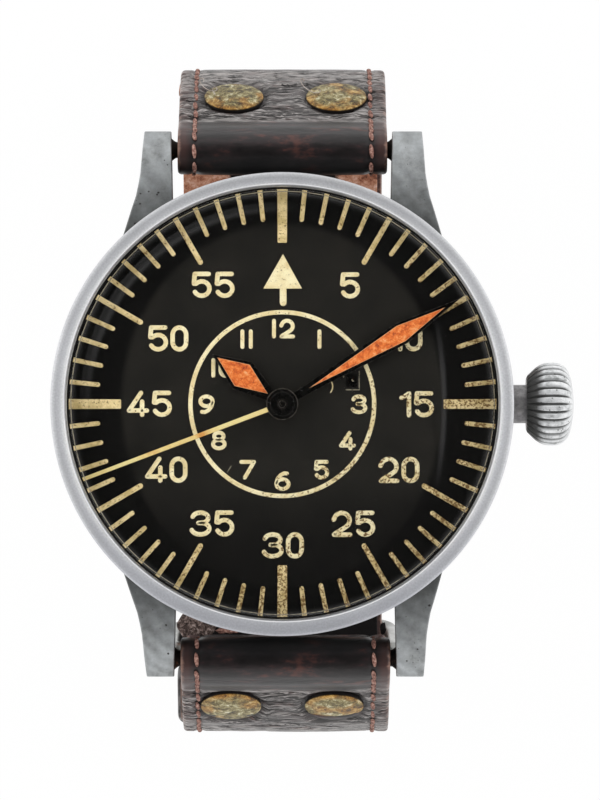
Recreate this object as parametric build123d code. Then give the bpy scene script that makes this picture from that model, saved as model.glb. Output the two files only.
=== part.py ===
from build123d import *
import math
import os

# Large pilot watch on its buckled leather strap, dial up.
# +X points from the hands' axis to the crown, +Y to twelve o'clock and +Z out of the dial.
# The origin is on the hands' axis, on the surface that the strap's back run lies on.
# Lengths are in millimetres and angles in degrees. Twelve and six name the two strap ends.

# Case, seen from above. The bezel's diameter drives it.
bezel_diameter = 55.0
bezel_width = 1.9
bezel_overhang = 0.5
dial_seat = 0.3
case_wall = 2.4
ring_wall = 0.8
back_step = 0.7
skirt_step = 0.9
window_diameter = bezel_diameter - 2 * bezel_width
dial_diameter = window_diameter + 2 * dial_seat
case_diameter = bezel_diameter - 2 * bezel_overhang
case_wall_inner = case_diameter - 2 * case_wall
movement_diameter = case_wall_inner - 2 * ring_wall
back_diameter = case_diameter - 2 * back_step
back_skirt_diameter = case_wall_inner + 2 * skirt_step

# Case heights and walls
back_plate = 1.3
back_dome = 1.2
back_depth = 2.0
back_skirt_height = 1.4
back_skirt_wall = 0.75
back_gap = 0.6
back_flat_share = 0.76
middle_edge = 0.5
rim_height = 0.85
bezel_height = 3.6
bezel_rim_drop = 1.2
bezel_rim_width = 0.3
bezel_slope = 0.5
bezel_chamfer = 0.55
crystal_seat_depth = 1.5
crystal_seat_width = 0.55
crystal_wall = 0.38
dome_shares = (0, 0.5, 0.8, 1)
crystal_rise = 2.5
crystal_thickness = 1.2
fit_gap = 0.03
face_gap = 0.05
tension_ring_wall = 0.35

# Strap: leather outside, lining inside
strap_width = 25.0
leather = 1.6
lining = 0.7
lining_inset = 0.15
strap_slope = 58.0
fold_length = 5.6
tab_length = 15.0
bar_play = 0.05
straight_12 = 12.0
bend_12 = 21.5
straight_6 = 10.5
bend_6 = 18.0
lower_bend_6 = 21.4
layer_gap = 0.25
tail_angle = 66.0
heel_closing_angle = 5.0
heel_tab_angle = 67.0
hole_diameter = 2.2
hole_pitch = 7.0
hole_count = 5

# Lugs and the fixed bars between them, placed from the case and the folded strap
bar_diameter = 2.0
strap_side_gap = 0.75
strap_case_gap = 0.55
lug_past_bar = 2.5
lug_flare_step = 4.2
lug_flare_inset = 1.1
lug_root_x_inset = 7.5
lug_root_y_inset = 8.0
lug_tip_width = 3.5
lug_gap = strap_width + 2 * strap_side_gap
bar_reach = case_diameter / 2 + bar_diameter / 2 + bar_play + leather + strap_case_gap
lug_reach = bar_reach + lug_past_bar
lug_flare_y = case_diameter / 2 - lug_flare_inset
lug_flare_x = lug_gap / 2 + lug_flare_step
lug_root_y = case_diameter / 2 - lug_root_y_inset
lug_root_x = case_diameter / 2 - lug_root_x_inset
lug_root_height = 7.2
lug_shoulder_height = 6.3
lug_tip_height = 3.2
lug_nose = 1.6
bar_rise = 4.6
bar_socket = 1.5
bar_flare_length = 0.7
bar_flare_diameter = 3.5

# Rivets through the folded ends
rivet_diameter = 7.1
rivet_edge = 0.3
rivet_height = 0.9
rivet_shank = 1.9
rivet_spacing = 12.5
rivet_place = 10.4
rivet_crown_share = 0.6
rivet_shoulder_share = 0.8
washer_diameter = 3.9

# Buckle and keeper
buckle_rod = 2.0
buckle_side_gap = 0.3
buckle_corner = 2.0
buckle_front_angle = 25.5
buckle_heel_angle = 45.5
buckle_eye_diameter = 3.2
heel_bar_diameter = 1.8
tongue_width = 1.8
tongue_thickness = 0.8
tongue_loop_diameter = 3.4
tongue_slot = 2.6
tongue_hole_length = 8.0
tongue_seat = 0.8
keeper_angle = 54.2
keeper_length = 3.2
keeper_wall = 0.8
keeper_gap = 0.15

# Crown and winding parts
crown_diameter = 9.9
crown_back_diameter = 7.0
crown_end_diameter = 7.4
crown_length = 5.8
crown_gap = 1.75
crown_start = bezel_diameter / 2 + crown_gap
crown_taper_length = 1.5
crown_shoulder_diameter = 9.2
crown_flutes = 30
crown_flute_share = 0.078
tube_diameter = 4.7
tube_in_crown = 0.2
tube_inset = 0.6
tube_end = crown_start + tube_in_crown
tube_start = case_wall_inner / 2 + tube_inset
stem_diameter = 1.6
stem_square = 1.1
stem_pilot_diameter = 0.9
stem_pilot_start = 13.9
stem_square_start = 15.7
stem_square_end = 19.9
stem_in_crown = 4.1
stem_end = crown_start + stem_in_crown
stem_plate_gap = 0.2
groove_place = 22.6
groove_width = 1.0
groove_diameter = 1.0
winding_pinion_start = 20.0
winding_pinion_length = 2.0
winding_pinion_teeth = 16
sliding_pinion_start = 16.7
sliding_pinion_length = 3.1
sliding_pinion_diameter = 2.7
sliding_groove_depth = 0.35
sliding_groove_length = 0.9
crown_rounding = 0.3
crown_wheel_boss = 3.0

# Dial, markings and hands
dial_thickness = 0.45
dial_hole = 2.8
dial_foot_diameter = 1.0
dial_foot_place = 20.6
mark_height = 0.12
minute_count = 60
track_margin = 0.4
track_length_minor = 3.5
track_length_five = 6.0
track_outer = window_diameter - 2 * track_margin
track_inner_minor = track_outer - 2 * track_length_minor
track_inner_five = track_outer - 2 * track_length_five
track_width_minor = 0.5
track_width_five = 0.6
track_width_quarter = 1.14
hour_ring_diameter = 21.9
hour_ring_width = 0.65
arrow_tip = 17.8
arrow_base = 13.75
arrow_width = 4.6
arrow_stem_end = 11.7
arrow_stem_width = 0.8
hand_thickness = 0.25
hand_gap = 0.4
first_hand_gap = 0.55
hour_hand_length = 10.1
hour_hand_width = 3.9
hour_hand_waist = 5.9
hour_hand_root = 1.1
hour_lume_start = 2.2
hour_hand_angle = 305.6
minute_hand_length = 23.4
minute_hand_width = 2.6
minute_hand_waist = 16.4
minute_hand_root = 0.85
minute_lume_start = 4.1
minute_hand_angle = 59.3
lume_margin = 0.32
seconds_hand_length = 25.1
seconds_hand_width = 0.47
seconds_tip_width = 0.22
seconds_hand_angle = 249.3
seconds_boss_diameter = 3.8
seconds_boss_height = 0.5
seconds_pin_diameter = 0.9
seconds_pin_height = 0.25
hub_wall = 0.45

# Movement heights
bridge_step = 1.2
bridge_thickness = 1.2
cock_thickness = 0.8
wheel_gap = 0.2
wheel_thickness = 0.2
ratchet_thickness = 0.5
barrel_height = 1.7
third_step = 0.6
plate_thickness = 2.0
wheel_recess = 0.6
motion_recess = 1.0
dial_gap = 0.6
cannon_teeth_height = 0.25
barrel_wall = 0.5
barrel_floor = 0.35
flange_height = 0.5

# Teeth and layout
barrel_teeth = 72
centre_pinion_teeth = 12
centre_teeth = 64
third_pinion_teeth = 8
third_teeth = 60
fourth_pinion_teeth = 8
fourth_teeth = 60
escape_pinion_teeth = 6
escape_teeth = 15
cannon_teeth = 10
minute_teeth = 30
minute_pinion_teeth = 8
hour_teeth = 32
ratchet_teeth = 48
crown_wheel_teeth = 28
barrel_module = 0.28
centre_module = 0.22
fourth_module = 0.24
motion_module = 0.2
barrel_angle = 58.0
third_angle = 193.0
escape_angle = 303.0
balance_angle = 223.0
minute_wheel_angle = 330.0
crown_wheel_place = 17.0
tooth_top_share = 0.8
tooth_root_share = 1.3
spoke_width = 0.7
wheel_rim = 0.7
wheel_arms = 4
escape_hub = 0.9

# Arbors, escapement and balance
arbor_diameter = 0.6
fourth_arbor_diameter = 0.44
centre_arbor_diameter = 1.1
barrel_arbor_diameter = 2.4
barrel_hub_diameter = 4.4
cannon_diameter = 1.7
hour_tube_diameter = 2.5
running_gap = 0.05
escape_diameter = 8.0
escape_tooth_depth = 0.8
escape_tip_width = 0.12
pallet_reach = 4.62
balance_reach = 5.38
pallet_arm_width = 1.1
stone_length = 1.0
stone_width = 0.5
lever_width = 0.6
fork_width = 1.5
fork_depth = 0.6
roller_diameter = 2.6
roller_pin_diameter = 0.3
roller_pin_orbit = 0.95
balance_diameter = 16.8
balance_rim = 0.8
balance_rim_height = 0.7
balance_arm = 1.2
hairspring_height = 0.2
hairspring_strip = 0.12
hairspring_inner = 1.3
hairspring_outer = 4.3
hairspring_turns = 4
mainspring_strip = 0.25
mainspring_inner = 2.7
mainspring_outer = 8.4
mainspring_turns = 4
spiral_points = 12

# Bridges, screws, jewels
bridge_inset = 0.5
bridge_split = 3.2
bridge_kerf = 0.5
foot_diameter = 4.4
balance_room = 0.5
cock_width = 4.6
cock_foot_place = 20.4
cock_foot_angle = 290.0
jewel_diameter = 1.6
jewel_height = 0.4
screw_diameter = 2.0
screw_head = 0.45
screw_shank = 1.0
screw_slot = 0.25
regulator_thickness = 0.2
regulator_ring = 3.2
regulator_tail = 6.0
regulator_width = 0.5
click_pivot_diameter = 2.4
click_bearing = 140.0
click_clear = 0.06
click_spring_strip = 0.3
click_nose = 0.6
click_beak_angle = 6.0
click_spring_length = 3.4
click_spring_foot = 1.6
lever_plate = 0.4
lever_pocket = 0.52
lever_room = 1.6
lever_pivot_x = 21.4
lever_pivot_y = 6.0
lever_pin_diameter = 0.6
clamp_diameter = 2.4
clamp_inset = 0.8
clamp_place = movement_diameter / 2 - clamp_inset
clamp_head = 0.5
clamp_angles = (128.0, 232.0)
barrel_feet = [(20.4, 112.0), (20.0, 17.0), (20.4, -15.0)]
train_feet = [(20.4, 152.0), (20.4, 195.0), (19.6, -40.0)]
pivot_reach = 0.3
screw_reach = 1.2
dial_foot_angle = 95.0
dial_foot_length = 0.9
minute_post_diameter = 0.7
stone_angle = 30.0
stone_lock = 0.15
stone_hold = 0.3
tooth_back_share = 0.12
tooth_front_share = 0.3
collet_diameter = 2.2
stud_diameter = 0.7
stud_angle = 60.0
regulator_angle = 200.0
cock_boss_diameter = 2.0
cock_nose_diameter = 4.4
pallet_foot_reach = 6.0
pallet_foot_diameter = 2.6
pallet_nose_diameter = 2.2
pallet_cock_height = 0.7
balance_step = 0.45
hairspring_gap = 0.2
overrun = 1.0

# Sides of many-sided rounds
small_round = 5.0
large_round = 19.5
small_sides = 8
middle_sides = 16
large_sides = 36
turned_sides = 48


def polar(radius, angle):
    return (radius * math.cos(math.radians(angle)), radius * math.sin(math.radians(angle)))


def add(a, b):
    return (a[0] + b[0], a[1] + b[1])


def gap_between(a, b):
    return math.hypot(a[0] - b[0], a[1] - b[1])


def bearing(a, b):
    return math.degrees(math.atan2(b[1] - a[1], b[0] - a[0]))


# Where the strap's path puts the bars: the path is the face between leather and lining
slope_down = math.sin(math.radians(strap_slope))
slope_out = math.cos(math.radians(strap_slope))
bar_height = leather + bend_12 * (1 + slope_out) + straight_12 * slope_down
bend_centre_12 = bar_reach + straight_12 * slope_out - bend_12 * slope_down

# The short end's lower bend runs inside the long end's tail. Its centre is (distance from the Z axis, height).
tail_bend = lower_bend_6 + leather + layer_gap + lining
side_reach_6 = bar_reach + straight_6 * slope_out + bend_6 * (1 - slope_down)
lower_centre = (side_reach_6 - lower_bend_6, leather + tail_bend)
side_length_6 = bar_height - lower_centre[1] - bend_6 * slope_out - straight_6 * slope_down
heel_radius = lower_bend_6 - heel_bar_diameter / 2 - bar_play
front_radius = tail_bend + leather + layer_gap + buckle_rod / 2

# Heights of the head, from its back to its crystal
head_base = bar_height - bar_rise
middle_bottom = head_base + back_depth
cock_bottom = head_base + back_plate + back_gap
cock_top = cock_bottom + cock_thickness
bridge_bottom = cock_bottom + bridge_step
bridge_top = bridge_bottom + bridge_thickness
ratchet_top = bridge_bottom - wheel_gap
ratchet_bottom = ratchet_top - ratchet_thickness
fourth_bottom = bridge_top + wheel_gap
fourth_top = fourth_bottom + wheel_thickness
barrel_bottom = fourth_top + wheel_gap
barrel_top = barrel_bottom + barrel_height
plate_bottom = barrel_top + wheel_gap
third_bottom = fourth_top + third_step
third_top = third_bottom + wheel_thickness
escape_bottom = third_top + wheel_gap
escape_top = escape_bottom + wheel_thickness
centre_bottom = plate_bottom + wheel_gap
centre_top = centre_bottom + wheel_thickness
recess_top = plate_bottom + wheel_recess
plate_top = plate_bottom + plate_thickness
motion_floor = plate_top - motion_recess
cannon_bottom = motion_floor + wheel_gap
cannon_top = cannon_bottom + cannon_teeth_height
hour_bottom = cannon_top + wheel_gap
hour_top = hour_bottom + wheel_thickness
dial_bottom = plate_top + dial_gap
dial_top = dial_bottom + dial_thickness
middle_top = dial_top + rim_height
bezel_top = middle_top + bezel_height
crystal_top = bezel_top + crystal_rise
hour_hand_bottom = dial_top + first_hand_gap
hour_hand_top = hour_hand_bottom + hand_thickness
minute_hand_bottom = hour_hand_top + hand_gap
minute_hand_top = minute_hand_bottom + hand_thickness
seconds_bottom = minute_hand_top + hand_gap
seconds_top = seconds_bottom + seconds_boss_height
stem_height = plate_bottom - stem_plate_gap - stem_diameter / 2
hairspring_bottom = cock_top + hairspring_gap
balance_bottom = hairspring_bottom + balance_step
pallet_cock_top = escape_bottom - 2 * wheel_gap
pallet_cock_bottom = pallet_cock_top - pallet_cock_height

# Centre distances and arbor places of the wheel train
centre_distance = centre_module * (centre_teeth + third_pinion_teeth) / 2
third_module = 2 * centre_distance / (third_teeth + fourth_pinion_teeth)
barrel_distance = barrel_module * (barrel_teeth + centre_pinion_teeth) / 2
escape_distance = fourth_module * (fourth_teeth + escape_pinion_teeth) / 2
motion_distance = motion_module * (cannon_teeth + minute_teeth) / 2
barrel_at = polar(barrel_distance, barrel_angle)
third_at = polar(centre_distance, third_angle)
escape_at = polar(escape_distance, escape_angle)
pallet_at = add(escape_at, polar(pallet_reach, balance_angle))
balance_at = add(pallet_at, polar(balance_reach, balance_angle))
minute_at = polar(motion_distance, minute_wheel_angle)
crown_wheel_at = (crown_wheel_place, 0)
winding_distance = gap_between(barrel_at, crown_wheel_at)
winding_module = 2 * winding_distance / (ratchet_teeth + crown_wheel_teeth)
cock_foot_at = polar(cock_foot_place, cock_foot_angle)


def side_count(diameter):
    """Sides of the many-sided rounds, which keep hidden and repeated pieces light."""
    if diameter < small_round:
        return small_sides
    return middle_sides if diameter < large_round else large_sides


def prism(points, bottom, top):
    """Upright plate with a straight-sided outline."""
    face = make_face(Polyline(*points, close=True))
    return Pos(0, 0, bottom) * extrude(face, amount=top - bottom, dir=(0, 0, 1))


def disc(diameter, bottom, top, at=(0, 0)):
    """Upright many-sided round whose corners lie on the diameter."""
    count = side_count(diameter)
    points = [add(at, polar(diameter / 2, 360 * (i + 0.5) / count)) for i in range(count)]
    return prism(points, bottom, top)


def hole(diameter, bottom, top, at=(0, 0)):
    """Many-sided opening whose flats lie on the diameter, so that a round turns freely in it."""
    count = side_count(diameter)
    radius = diameter / 2 / math.cos(math.pi / count)
    return prism([add(at, polar(radius, 360 * (i + 0.5) / count)) for i in range(count)], bottom, top)


def ring(outer, inner, bottom, top, at=(0, 0)):
    return disc(outer, bottom, top, at) - hole(inner, bottom - overrun, top + overrun, at)


def block(low, high):
    size = [b - a for a, b in zip(low, high)]
    return Pos(*low) * Box(*size, align=(Align.MIN, Align.MIN, Align.MIN))


def faceted(outline, count, flute=0):
    """Many-sided turned solid from (radius, height) points; every other corner is set in by the flute's share."""
    faces = []
    for (r0, z0), (r1, z1) in zip(outline, outline[1:] + outline[:1]):
        for i in range(count):
            corners = []
            for radius, height, step in ((r0, z0, 0), (r1, z1, 0), (r1, z1, 1), (r0, z0, 1)):
                scale = 1 - flute * ((i + step) % 2)
                corner = (*polar(radius * scale, 360 * (i + step) / count), height)
                if radius > 0 or (0, 0, height) not in corners:
                    corners.append(corner if radius > 0 else (0, 0, height))
            if len(corners) > 2:
                faces.append(Face(Wire.make_polygon(corners)))
    return Solid(Shell(faces)).clean()


def along_stem(shape):
    """Lay a shape built up Z along the winding stem, its Z becoming X."""
    return Pos(0, 0, stem_height) * Rot(0, 90, 0) * shape


def gear_points(teeth, module, phase):
    """Pointed teeth, two points each."""
    pitch = 360 / teeth
    tip = module * (teeth / 2 + tooth_top_share)
    root = module * (teeth / 2 - tooth_root_share)
    points = []
    for i in range(teeth):
        points += [polar(tip, phase + i * pitch), polar(root, phase + (i + 0.5) * pitch)]
    return points


def tip_diameter(teeth, module):
    return 2 * module * (teeth / 2 + tooth_top_share)


def gear(teeth, module, phase, bottom, top, at=(0, 0)):
    return Pos(at[0], at[1], 0) * prism(gear_points(teeth, module, phase), bottom, top)


def meshed(phase, teeth, other_teeth, angle):
    """Phase of the other gear, which lies at this angle from the first, with a gap at its tooth."""
    turns = (angle - phase) * teeth / 360
    return angle + 180 - (0.5 - turns) * 360 / other_teeth


def spoke_windows(outer_radius, hub_radius, count, phase, bottom, top, at):
    """Openings between the arms of a wheel."""
    windows = []
    step = 360 / count
    for i in range(count):
        start = phase + i * step
        outer = math.degrees(spoke_width / 2 / outer_radius)
        inner = math.degrees(spoke_width / 2 / hub_radius)
        angles = [start + outer, start + step / 2, start + step - outer]
        points = [polar(outer_radius, a) for a in angles]
        points += [polar(hub_radius, start + step - inner), polar(hub_radius, start + inner)]
        windows.append(Pos(at[0], at[1], 0) * prism(points, bottom - overrun, top + overrun))
    return windows


def spoked_wheel(teeth, module, phase, bottom, top, hub_radius, at=(0, 0)):
    wheel = gear(teeth, module, phase, bottom, top, at)
    rim = module * (teeth / 2 - tooth_root_share) - wheel_rim
    for window in spoke_windows(rim, hub_radius, wheel_arms, phase, bottom, top, at):
        wheel -= window
    return wheel


def bar_rod(diameter, half_length, point):
    """Rod along X through a point of the YZ plane."""
    return Pos(0, *point) * Rot(0, 90, 0) * disc(diameter, -half_length, half_length)


def bar_bore(diameter, half_length, point):
    """Opening along X round a rod through a point of the YZ plane."""
    return Pos(0, *point) * Rot(0, 90, 0) * hole(diameter, -half_length, half_length)


# Case


def make_case_back():
    outer = back_diameter / 2
    skirt = back_skirt_diameter / 2 - fit_gap
    inner = skirt - back_skirt_wall
    edge = middle_bottom
    return faceted([
        (0, head_base), (outer * back_flat_share, head_base + back_dome / 4), (outer - middle_edge, head_base + back_dome),
        (outer, edge), (skirt, edge), (skirt, edge + back_skirt_height), (inner, edge + back_skirt_height),
        (inner, edge), (inner - back_skirt_wall, head_base + back_plate), (0, head_base + back_plate),
    ], turned_sides)


def make_lug(side_x, side_y):
    """One lug: its plan outline meets its side outline."""
    inner_x = lug_gap / 2
    tip_x = inner_x + lug_tip_width
    outer_edge = ThreePointArc(
        (tip_x, lug_reach - lug_nose / 2), (lug_flare_x, lug_flare_y), (lug_root_x, lug_root_y)
    )
    plan = make_face([
        outer_edge,
        Polyline((lug_root_x, lug_root_y), (inner_x, lug_root_y), (inner_x, lug_reach - lug_nose / 2),
                 (inner_x + lug_nose / 2, lug_reach), (tip_x - lug_nose / 2, lug_reach),
                 (tip_x, lug_reach - lug_nose / 2)),
    ])
    upright = Pos(0, 0, middle_bottom) * extrude(plan, amount=lug_root_height, dir=(0, 0, 1))
    top = middle_bottom
    back = ThreePointArc(
        (0, lug_root_y, top + lug_root_height), (0, bezel_diameter / 2, top + lug_shoulder_height),
        (0, lug_reach, top + lug_tip_height),
    )
    under = Polyline((0, lug_reach, top + lug_tip_height), (0, lug_reach, top + lug_nose),
                     (0, lug_reach - lug_nose, top), (0, lug_root_y, top), (0, lug_root_y, top + lug_root_height))
    profile = extrude(make_face([back, under]), amount=lug_root_x + overrun, dir=(1, 0, 0))
    lug = upright & profile
    lug -= hole(case_diameter - 2 * middle_edge, middle_bottom - overrun, middle_top)
    if side_x < 0:
        lug = mirror(lug, Plane.YZ)
    if side_y < 0:
        lug = mirror(lug, Plane.XZ)
    return lug


def make_case_middle():
    outer = case_diameter / 2
    skirt = back_skirt_diameter / 2
    inner = case_wall_inner / 2
    dial_edge = dial_diameter / 2 + face_gap
    skirt_top = middle_bottom + back_skirt_height + face_gap
    case = faceted([
        (skirt, middle_bottom), (outer - middle_edge, middle_bottom), (outer, middle_bottom + middle_edge),
        (outer, middle_top), (dial_edge, middle_top), (dial_edge, dial_bottom), (inner, dial_bottom),
        (inner, skirt_top), (skirt, skirt_top),
    ], turned_sides)
    for side_x in (-1, 1):
        for side_y in (-1, 1):
            case += make_lug(side_x, side_y)
    for side in (-1, 1):
        case -= bar_bore(bar_diameter + 2 * fit_gap, lug_gap / 2 + bar_socket + fit_gap,
                        (side * bar_reach, bar_height))
    bore = disc(tube_diameter + 2 * fit_gap, inner - overrun, outer + overrun)
    return case - along_stem(bore)


def make_strap_bar(side):
    """Fixed bar with the flared solder at each lug."""
    half = lug_gap / 2
    bar = bar_rod(bar_diameter, half + bar_socket, (side * bar_reach, bar_height))
    flare = faceted([
        (0, half - bar_flare_length), (bar_diameter / 2, half - bar_flare_length),
        (bar_flare_diameter / 2, half), (0, half),
    ], middle_sides)
    for turn in (90, -90):
        bar += Pos(0, side * bar_reach, bar_height) * Rot(0, turn, 0) * flare
    return bar


def make_bezel():
    outer = bezel_diameter / 2
    window = window_diameter / 2
    seat = window + crystal_seat_width
    shelf = middle_top + crystal_seat_depth
    return faceted([
        (seat, middle_top), (outer, middle_top), (outer, bezel_top - bezel_rim_drop),
        (outer - bezel_rim_width, bezel_top - bezel_slope), (window + bezel_chamfer, bezel_top),
        (window, bezel_top - bezel_chamfer), (window, shelf), (seat, shelf),
    ], turned_sides)


def make_crystal():
    """Domed crystal: its wall stands in the bezel and its flange is held under the bezel's shelf."""
    wall = window_diameter / 2 - fit_gap
    flange = wall + crystal_seat_width - fit_gap
    shelf = middle_top + crystal_seat_depth - fit_gap
    edge = bezel_top - bezel_chamfer
    inner = wall - crystal_wall
    spring, low = edge - crystal_thickness / 2, crystal_top - crystal_thickness
    outside = [(wall * share, crystal_top - (crystal_top - edge) * share ** 2) for share in dome_shares]
    inside = [(inner * share, low - (low - spring) * share ** 2) for share in dome_shares]
    foot = [(inner, middle_top), (flange, middle_top), (flange, shelf), (wall, shelf)]
    return faceted(inside + foot + outside[::-1], turned_sides)


def make_tension_ring():
    outer = dial_diameter
    return ring(outer, outer - 2 * tension_ring_wall, dial_top, middle_top)


def make_movement_ring():
    sleeve = ring(case_wall_inner - 4 * fit_gap, movement_diameter + 2 * fit_gap,
                  plate_bottom, plate_top)
    notch = block((0, -tube_diameter / 2, plate_bottom - overrun), (case_diameter, tube_diameter / 2, plate_top))
    return sleeve - notch


# Strap. Each end is built as at twelve o'clock, and the six o'clock side is mirrored.


def lift(point):
    return (0, point[0], point[1])


def across(face, width):
    """Solid of a YZ face, as wide as this and centred on X."""
    return extrude(face, amount=width / 2, dir=(1, 0, 0), both=True)


def on_side(side, shape):
    return shape if side > 0 else mirror(shape, Plane.XZ)


def set_off(point, heading, amount):
    """Point set off to the left of a heading, which is the loop's outside."""
    return (point[0] - amount * math.sin(heading), point[1] + amount * math.cos(heading))


def band(start, steps, low, high):
    """Face in the YZ plane between two offsets of a path that starts down a strap's slope.

    A step is (length, 0) for a run, or (radius, turn) for a bend towards the loop's inside.
    """
    point, angle = start, -math.radians(strap_slope)
    sides = {low: [], high: []}
    for size, turn in steps:
        if turn == 0:
            end = (point[0] + size * math.cos(angle), point[1] + size * math.sin(angle))
            for amount, edges in sides.items():
                edges.append(Line(lift(set_off(point, angle, amount)), lift(set_off(end, angle, amount))))
        else:
            centre = set_off(point, angle, -size)
            stops = [angle - math.radians(turn) * share for share in (0, 0.5, 1)]
            end = set_off(centre, stops[-1], size)
            for amount, edges in sides.items():
                edges.append(ThreePointArc(*[lift(set_off(centre, a, size + amount)) for a in stops]))
            angle = stops[-1]
        point = end
    ends = [Line(sides[low][0] @ 0, sides[high][0] @ 0), Line(sides[low][-1] @ 1, sides[high][-1] @ 1)]
    return make_face(sides[low] + sides[high] + ends)


def on_slope(along, off):
    """Point in the YZ plane, measured along the slope from the bar and off it outwards."""
    return (bar_reach + along * slope_out + off * slope_down, bar_height - along * slope_down + off * slope_out)


def on_bend(radius, angle):
    """Point in the YZ plane on the lower bend of the short end's side, angle from straight down."""
    a = math.radians(angle)
    return (lower_centre[0] + radius * math.sin(a), lower_centre[1] - radius * math.cos(a))


def make_fold():
    """Leather wrapped round a bar, closing to two layers."""
    radius = bar_diameter / 2 + bar_play + leather
    over, under = on_slope(0, radius), on_slope(0, -radius)
    wrap = make_face([
        ThreePointArc(lift(over), lift(on_slope(-radius, 0)), lift(under)),
        Polyline(lift(under), lift(on_slope(fold_length, -leather)), lift(on_slope(fold_length, leather)),
                 lift(over)),
    ])
    return across(wrap, strap_width) - bar_bore(bar_diameter + 2 * bar_play, strap_width, (bar_reach, bar_height))


def at_rivet(number, shape):
    """Put a shape built up Z on the slope's outer face, at a rivet's place."""
    x = (number - 0.5) * rivet_spacing
    return Pos(x, *on_slope(rivet_place, leather)) * Rot(-strap_slope, 0, 0) * shape


def make_rivets(side):
    """Two low-domed rivets through both layers, each with a washer inside."""
    crown = rivet_diameter * rivet_crown_share / 2
    shoulder = rivet_height * rivet_shoulder_share
    head = faceted([
        (0, 0), (rivet_diameter / 2, 0), (rivet_diameter / 2, rivet_edge), (crown, shoulder), (0, rivet_height),
    ], middle_sides)
    shank = disc(rivet_shank, -2 * leather, 0)
    washer = disc(washer_diameter, -2 * leather - rivet_edge, -2 * leather)
    return Compound([on_side(side, at_rivet(number, head + shank + washer)) for number in (0, 1)])


def cut_rivet_holes(body):
    for number in (0, 1):
        body -= at_rivet(number, hole(rivet_shank + 2 * fit_gap, -2 * leather - overrun, overrun))
        body -= at_rivet(number, hole(washer_diameter + 2 * fit_gap, -2 * leather - overrun, -2 * leather))
    return body


def long_steps():
    """Path of the long end, from where its fold closes to the tip of its tail."""
    run = bend_centre_12 + lower_centre[0]
    return [(straight_12 - fold_length, 0), (bend_12, 180 - strap_slope), (run, 0), (tail_bend, tail_angle)]


def short_steps(end_angle):
    """Path of the short end, from where its fold closes to an angle of the lower bend."""
    run = straight_6 - fold_length
    return [(run, 0), (bend_6, 90 - strap_slope), (side_length_6, 0), (lower_bend_6, 90 - end_angle)]


def tab_solid(straight, bend):
    """The folded end's tab, along the path's inside."""
    turn = math.degrees((tab_length - straight) / bend)
    face = band(on_slope(fold_length, 0), [(straight - fold_length, 0), (bend, turn)], -leather, 0)
    return across(face, strap_width)


def tail_hole(angle, length):
    """Rounded hole through the tail, on the short end's side."""
    reach = (length - hole_diameter) / 2
    slot = Box(hole_diameter, 2 * reach, 4 * leather)
    for way in (-1, 1):
        slot += hole(hole_diameter, -2 * leather, 2 * leather, (0, way * reach))
    return Pos(0, *on_bend(tail_bend, angle)) * Rot(angle, 0, 0) * slot


def tongue_line():
    """The tongue's centre line in the YZ plane: its start, its end and its normal."""
    heel, front = on_bend(heel_radius, buckle_heel_angle), on_bend(front_radius, buckle_front_angle)
    length = gap_between(heel, front)
    along = ((front[0] - heel[0]) / length, (front[1] - heel[1]) / length)
    normal = (-along[1], along[0])
    heel_off = tongue_loop_diameter / 2 - tongue_thickness / 2
    front_off = buckle_rod / 2 - tongue_seat + tongue_thickness / 2
    start = add(heel, (normal[0] * heel_off, normal[1] * heel_off))
    end = add(front, (normal[0] * front_off + along[0] * buckle_rod / 2,
                      normal[1] * front_off + along[1] * buckle_rod / 2))
    return start, end, normal


def tongue_crossing():
    """Angle on the lower bend where the tongue passes through the middle of the tail."""
    start, end, normal = tongue_line()
    a = (start[0] - lower_centre[0], start[1] - lower_centre[1])
    d = (end[0] - start[0], end[1] - start[1])
    radius = tail_bend + (leather - lining) / 2
    square, cross, rest = d[0] ** 2 + d[1] ** 2, a[0] * d[0] + a[1] * d[1], a[0] ** 2 + a[1] ** 2 - radius ** 2
    t = (math.sqrt(cross ** 2 - square * rest) - cross) / square
    return math.degrees(math.atan2(a[0] + t * d[0], -a[1] - t * d[1]))


def strap_holes():
    """The buckled hole, then the ones along the back run."""
    angle = tongue_crossing()
    holes = [on_side(-1, tail_hole(angle, tongue_hole_length))]
    passed = math.radians(angle) * tail_bend
    for i in range(1, hole_count):
        y = i * hole_pitch - passed - lower_centre[0]
        holes.append(hole(hole_diameter, -leather, 4 * leather, (0, y)))
    return holes


def make_strap_12():
    body = across(band(on_slope(fold_length, 0), long_steps(), 0, leather), strap_width)
    body = cut_rivet_holes(body + make_fold() + tab_solid(straight_12, bend_12))
    for opening in strap_holes():
        body -= opening
    return body


def make_lining_12():
    face = band(on_slope(fold_length, 0), long_steps(), -lining, 0)
    body = across(face, strap_width - 2 * lining_inset) - tab_solid(straight_12, bend_12)
    for opening in strap_holes():
        body -= opening
    return body


def band_on_bend(low, high, start, end):
    """Face between two radii of the lower bend."""
    stops = (start, (start + end) / 2, end)
    inner = ThreePointArc(*[lift(on_bend(low, a)) for a in stops])
    outer = ThreePointArc(*[lift(on_bend(high, a)) for a in stops])
    return make_face([inner, outer, Line(inner @ 0, outer @ 0), Line(inner @ 1, outer @ 1)])


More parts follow.
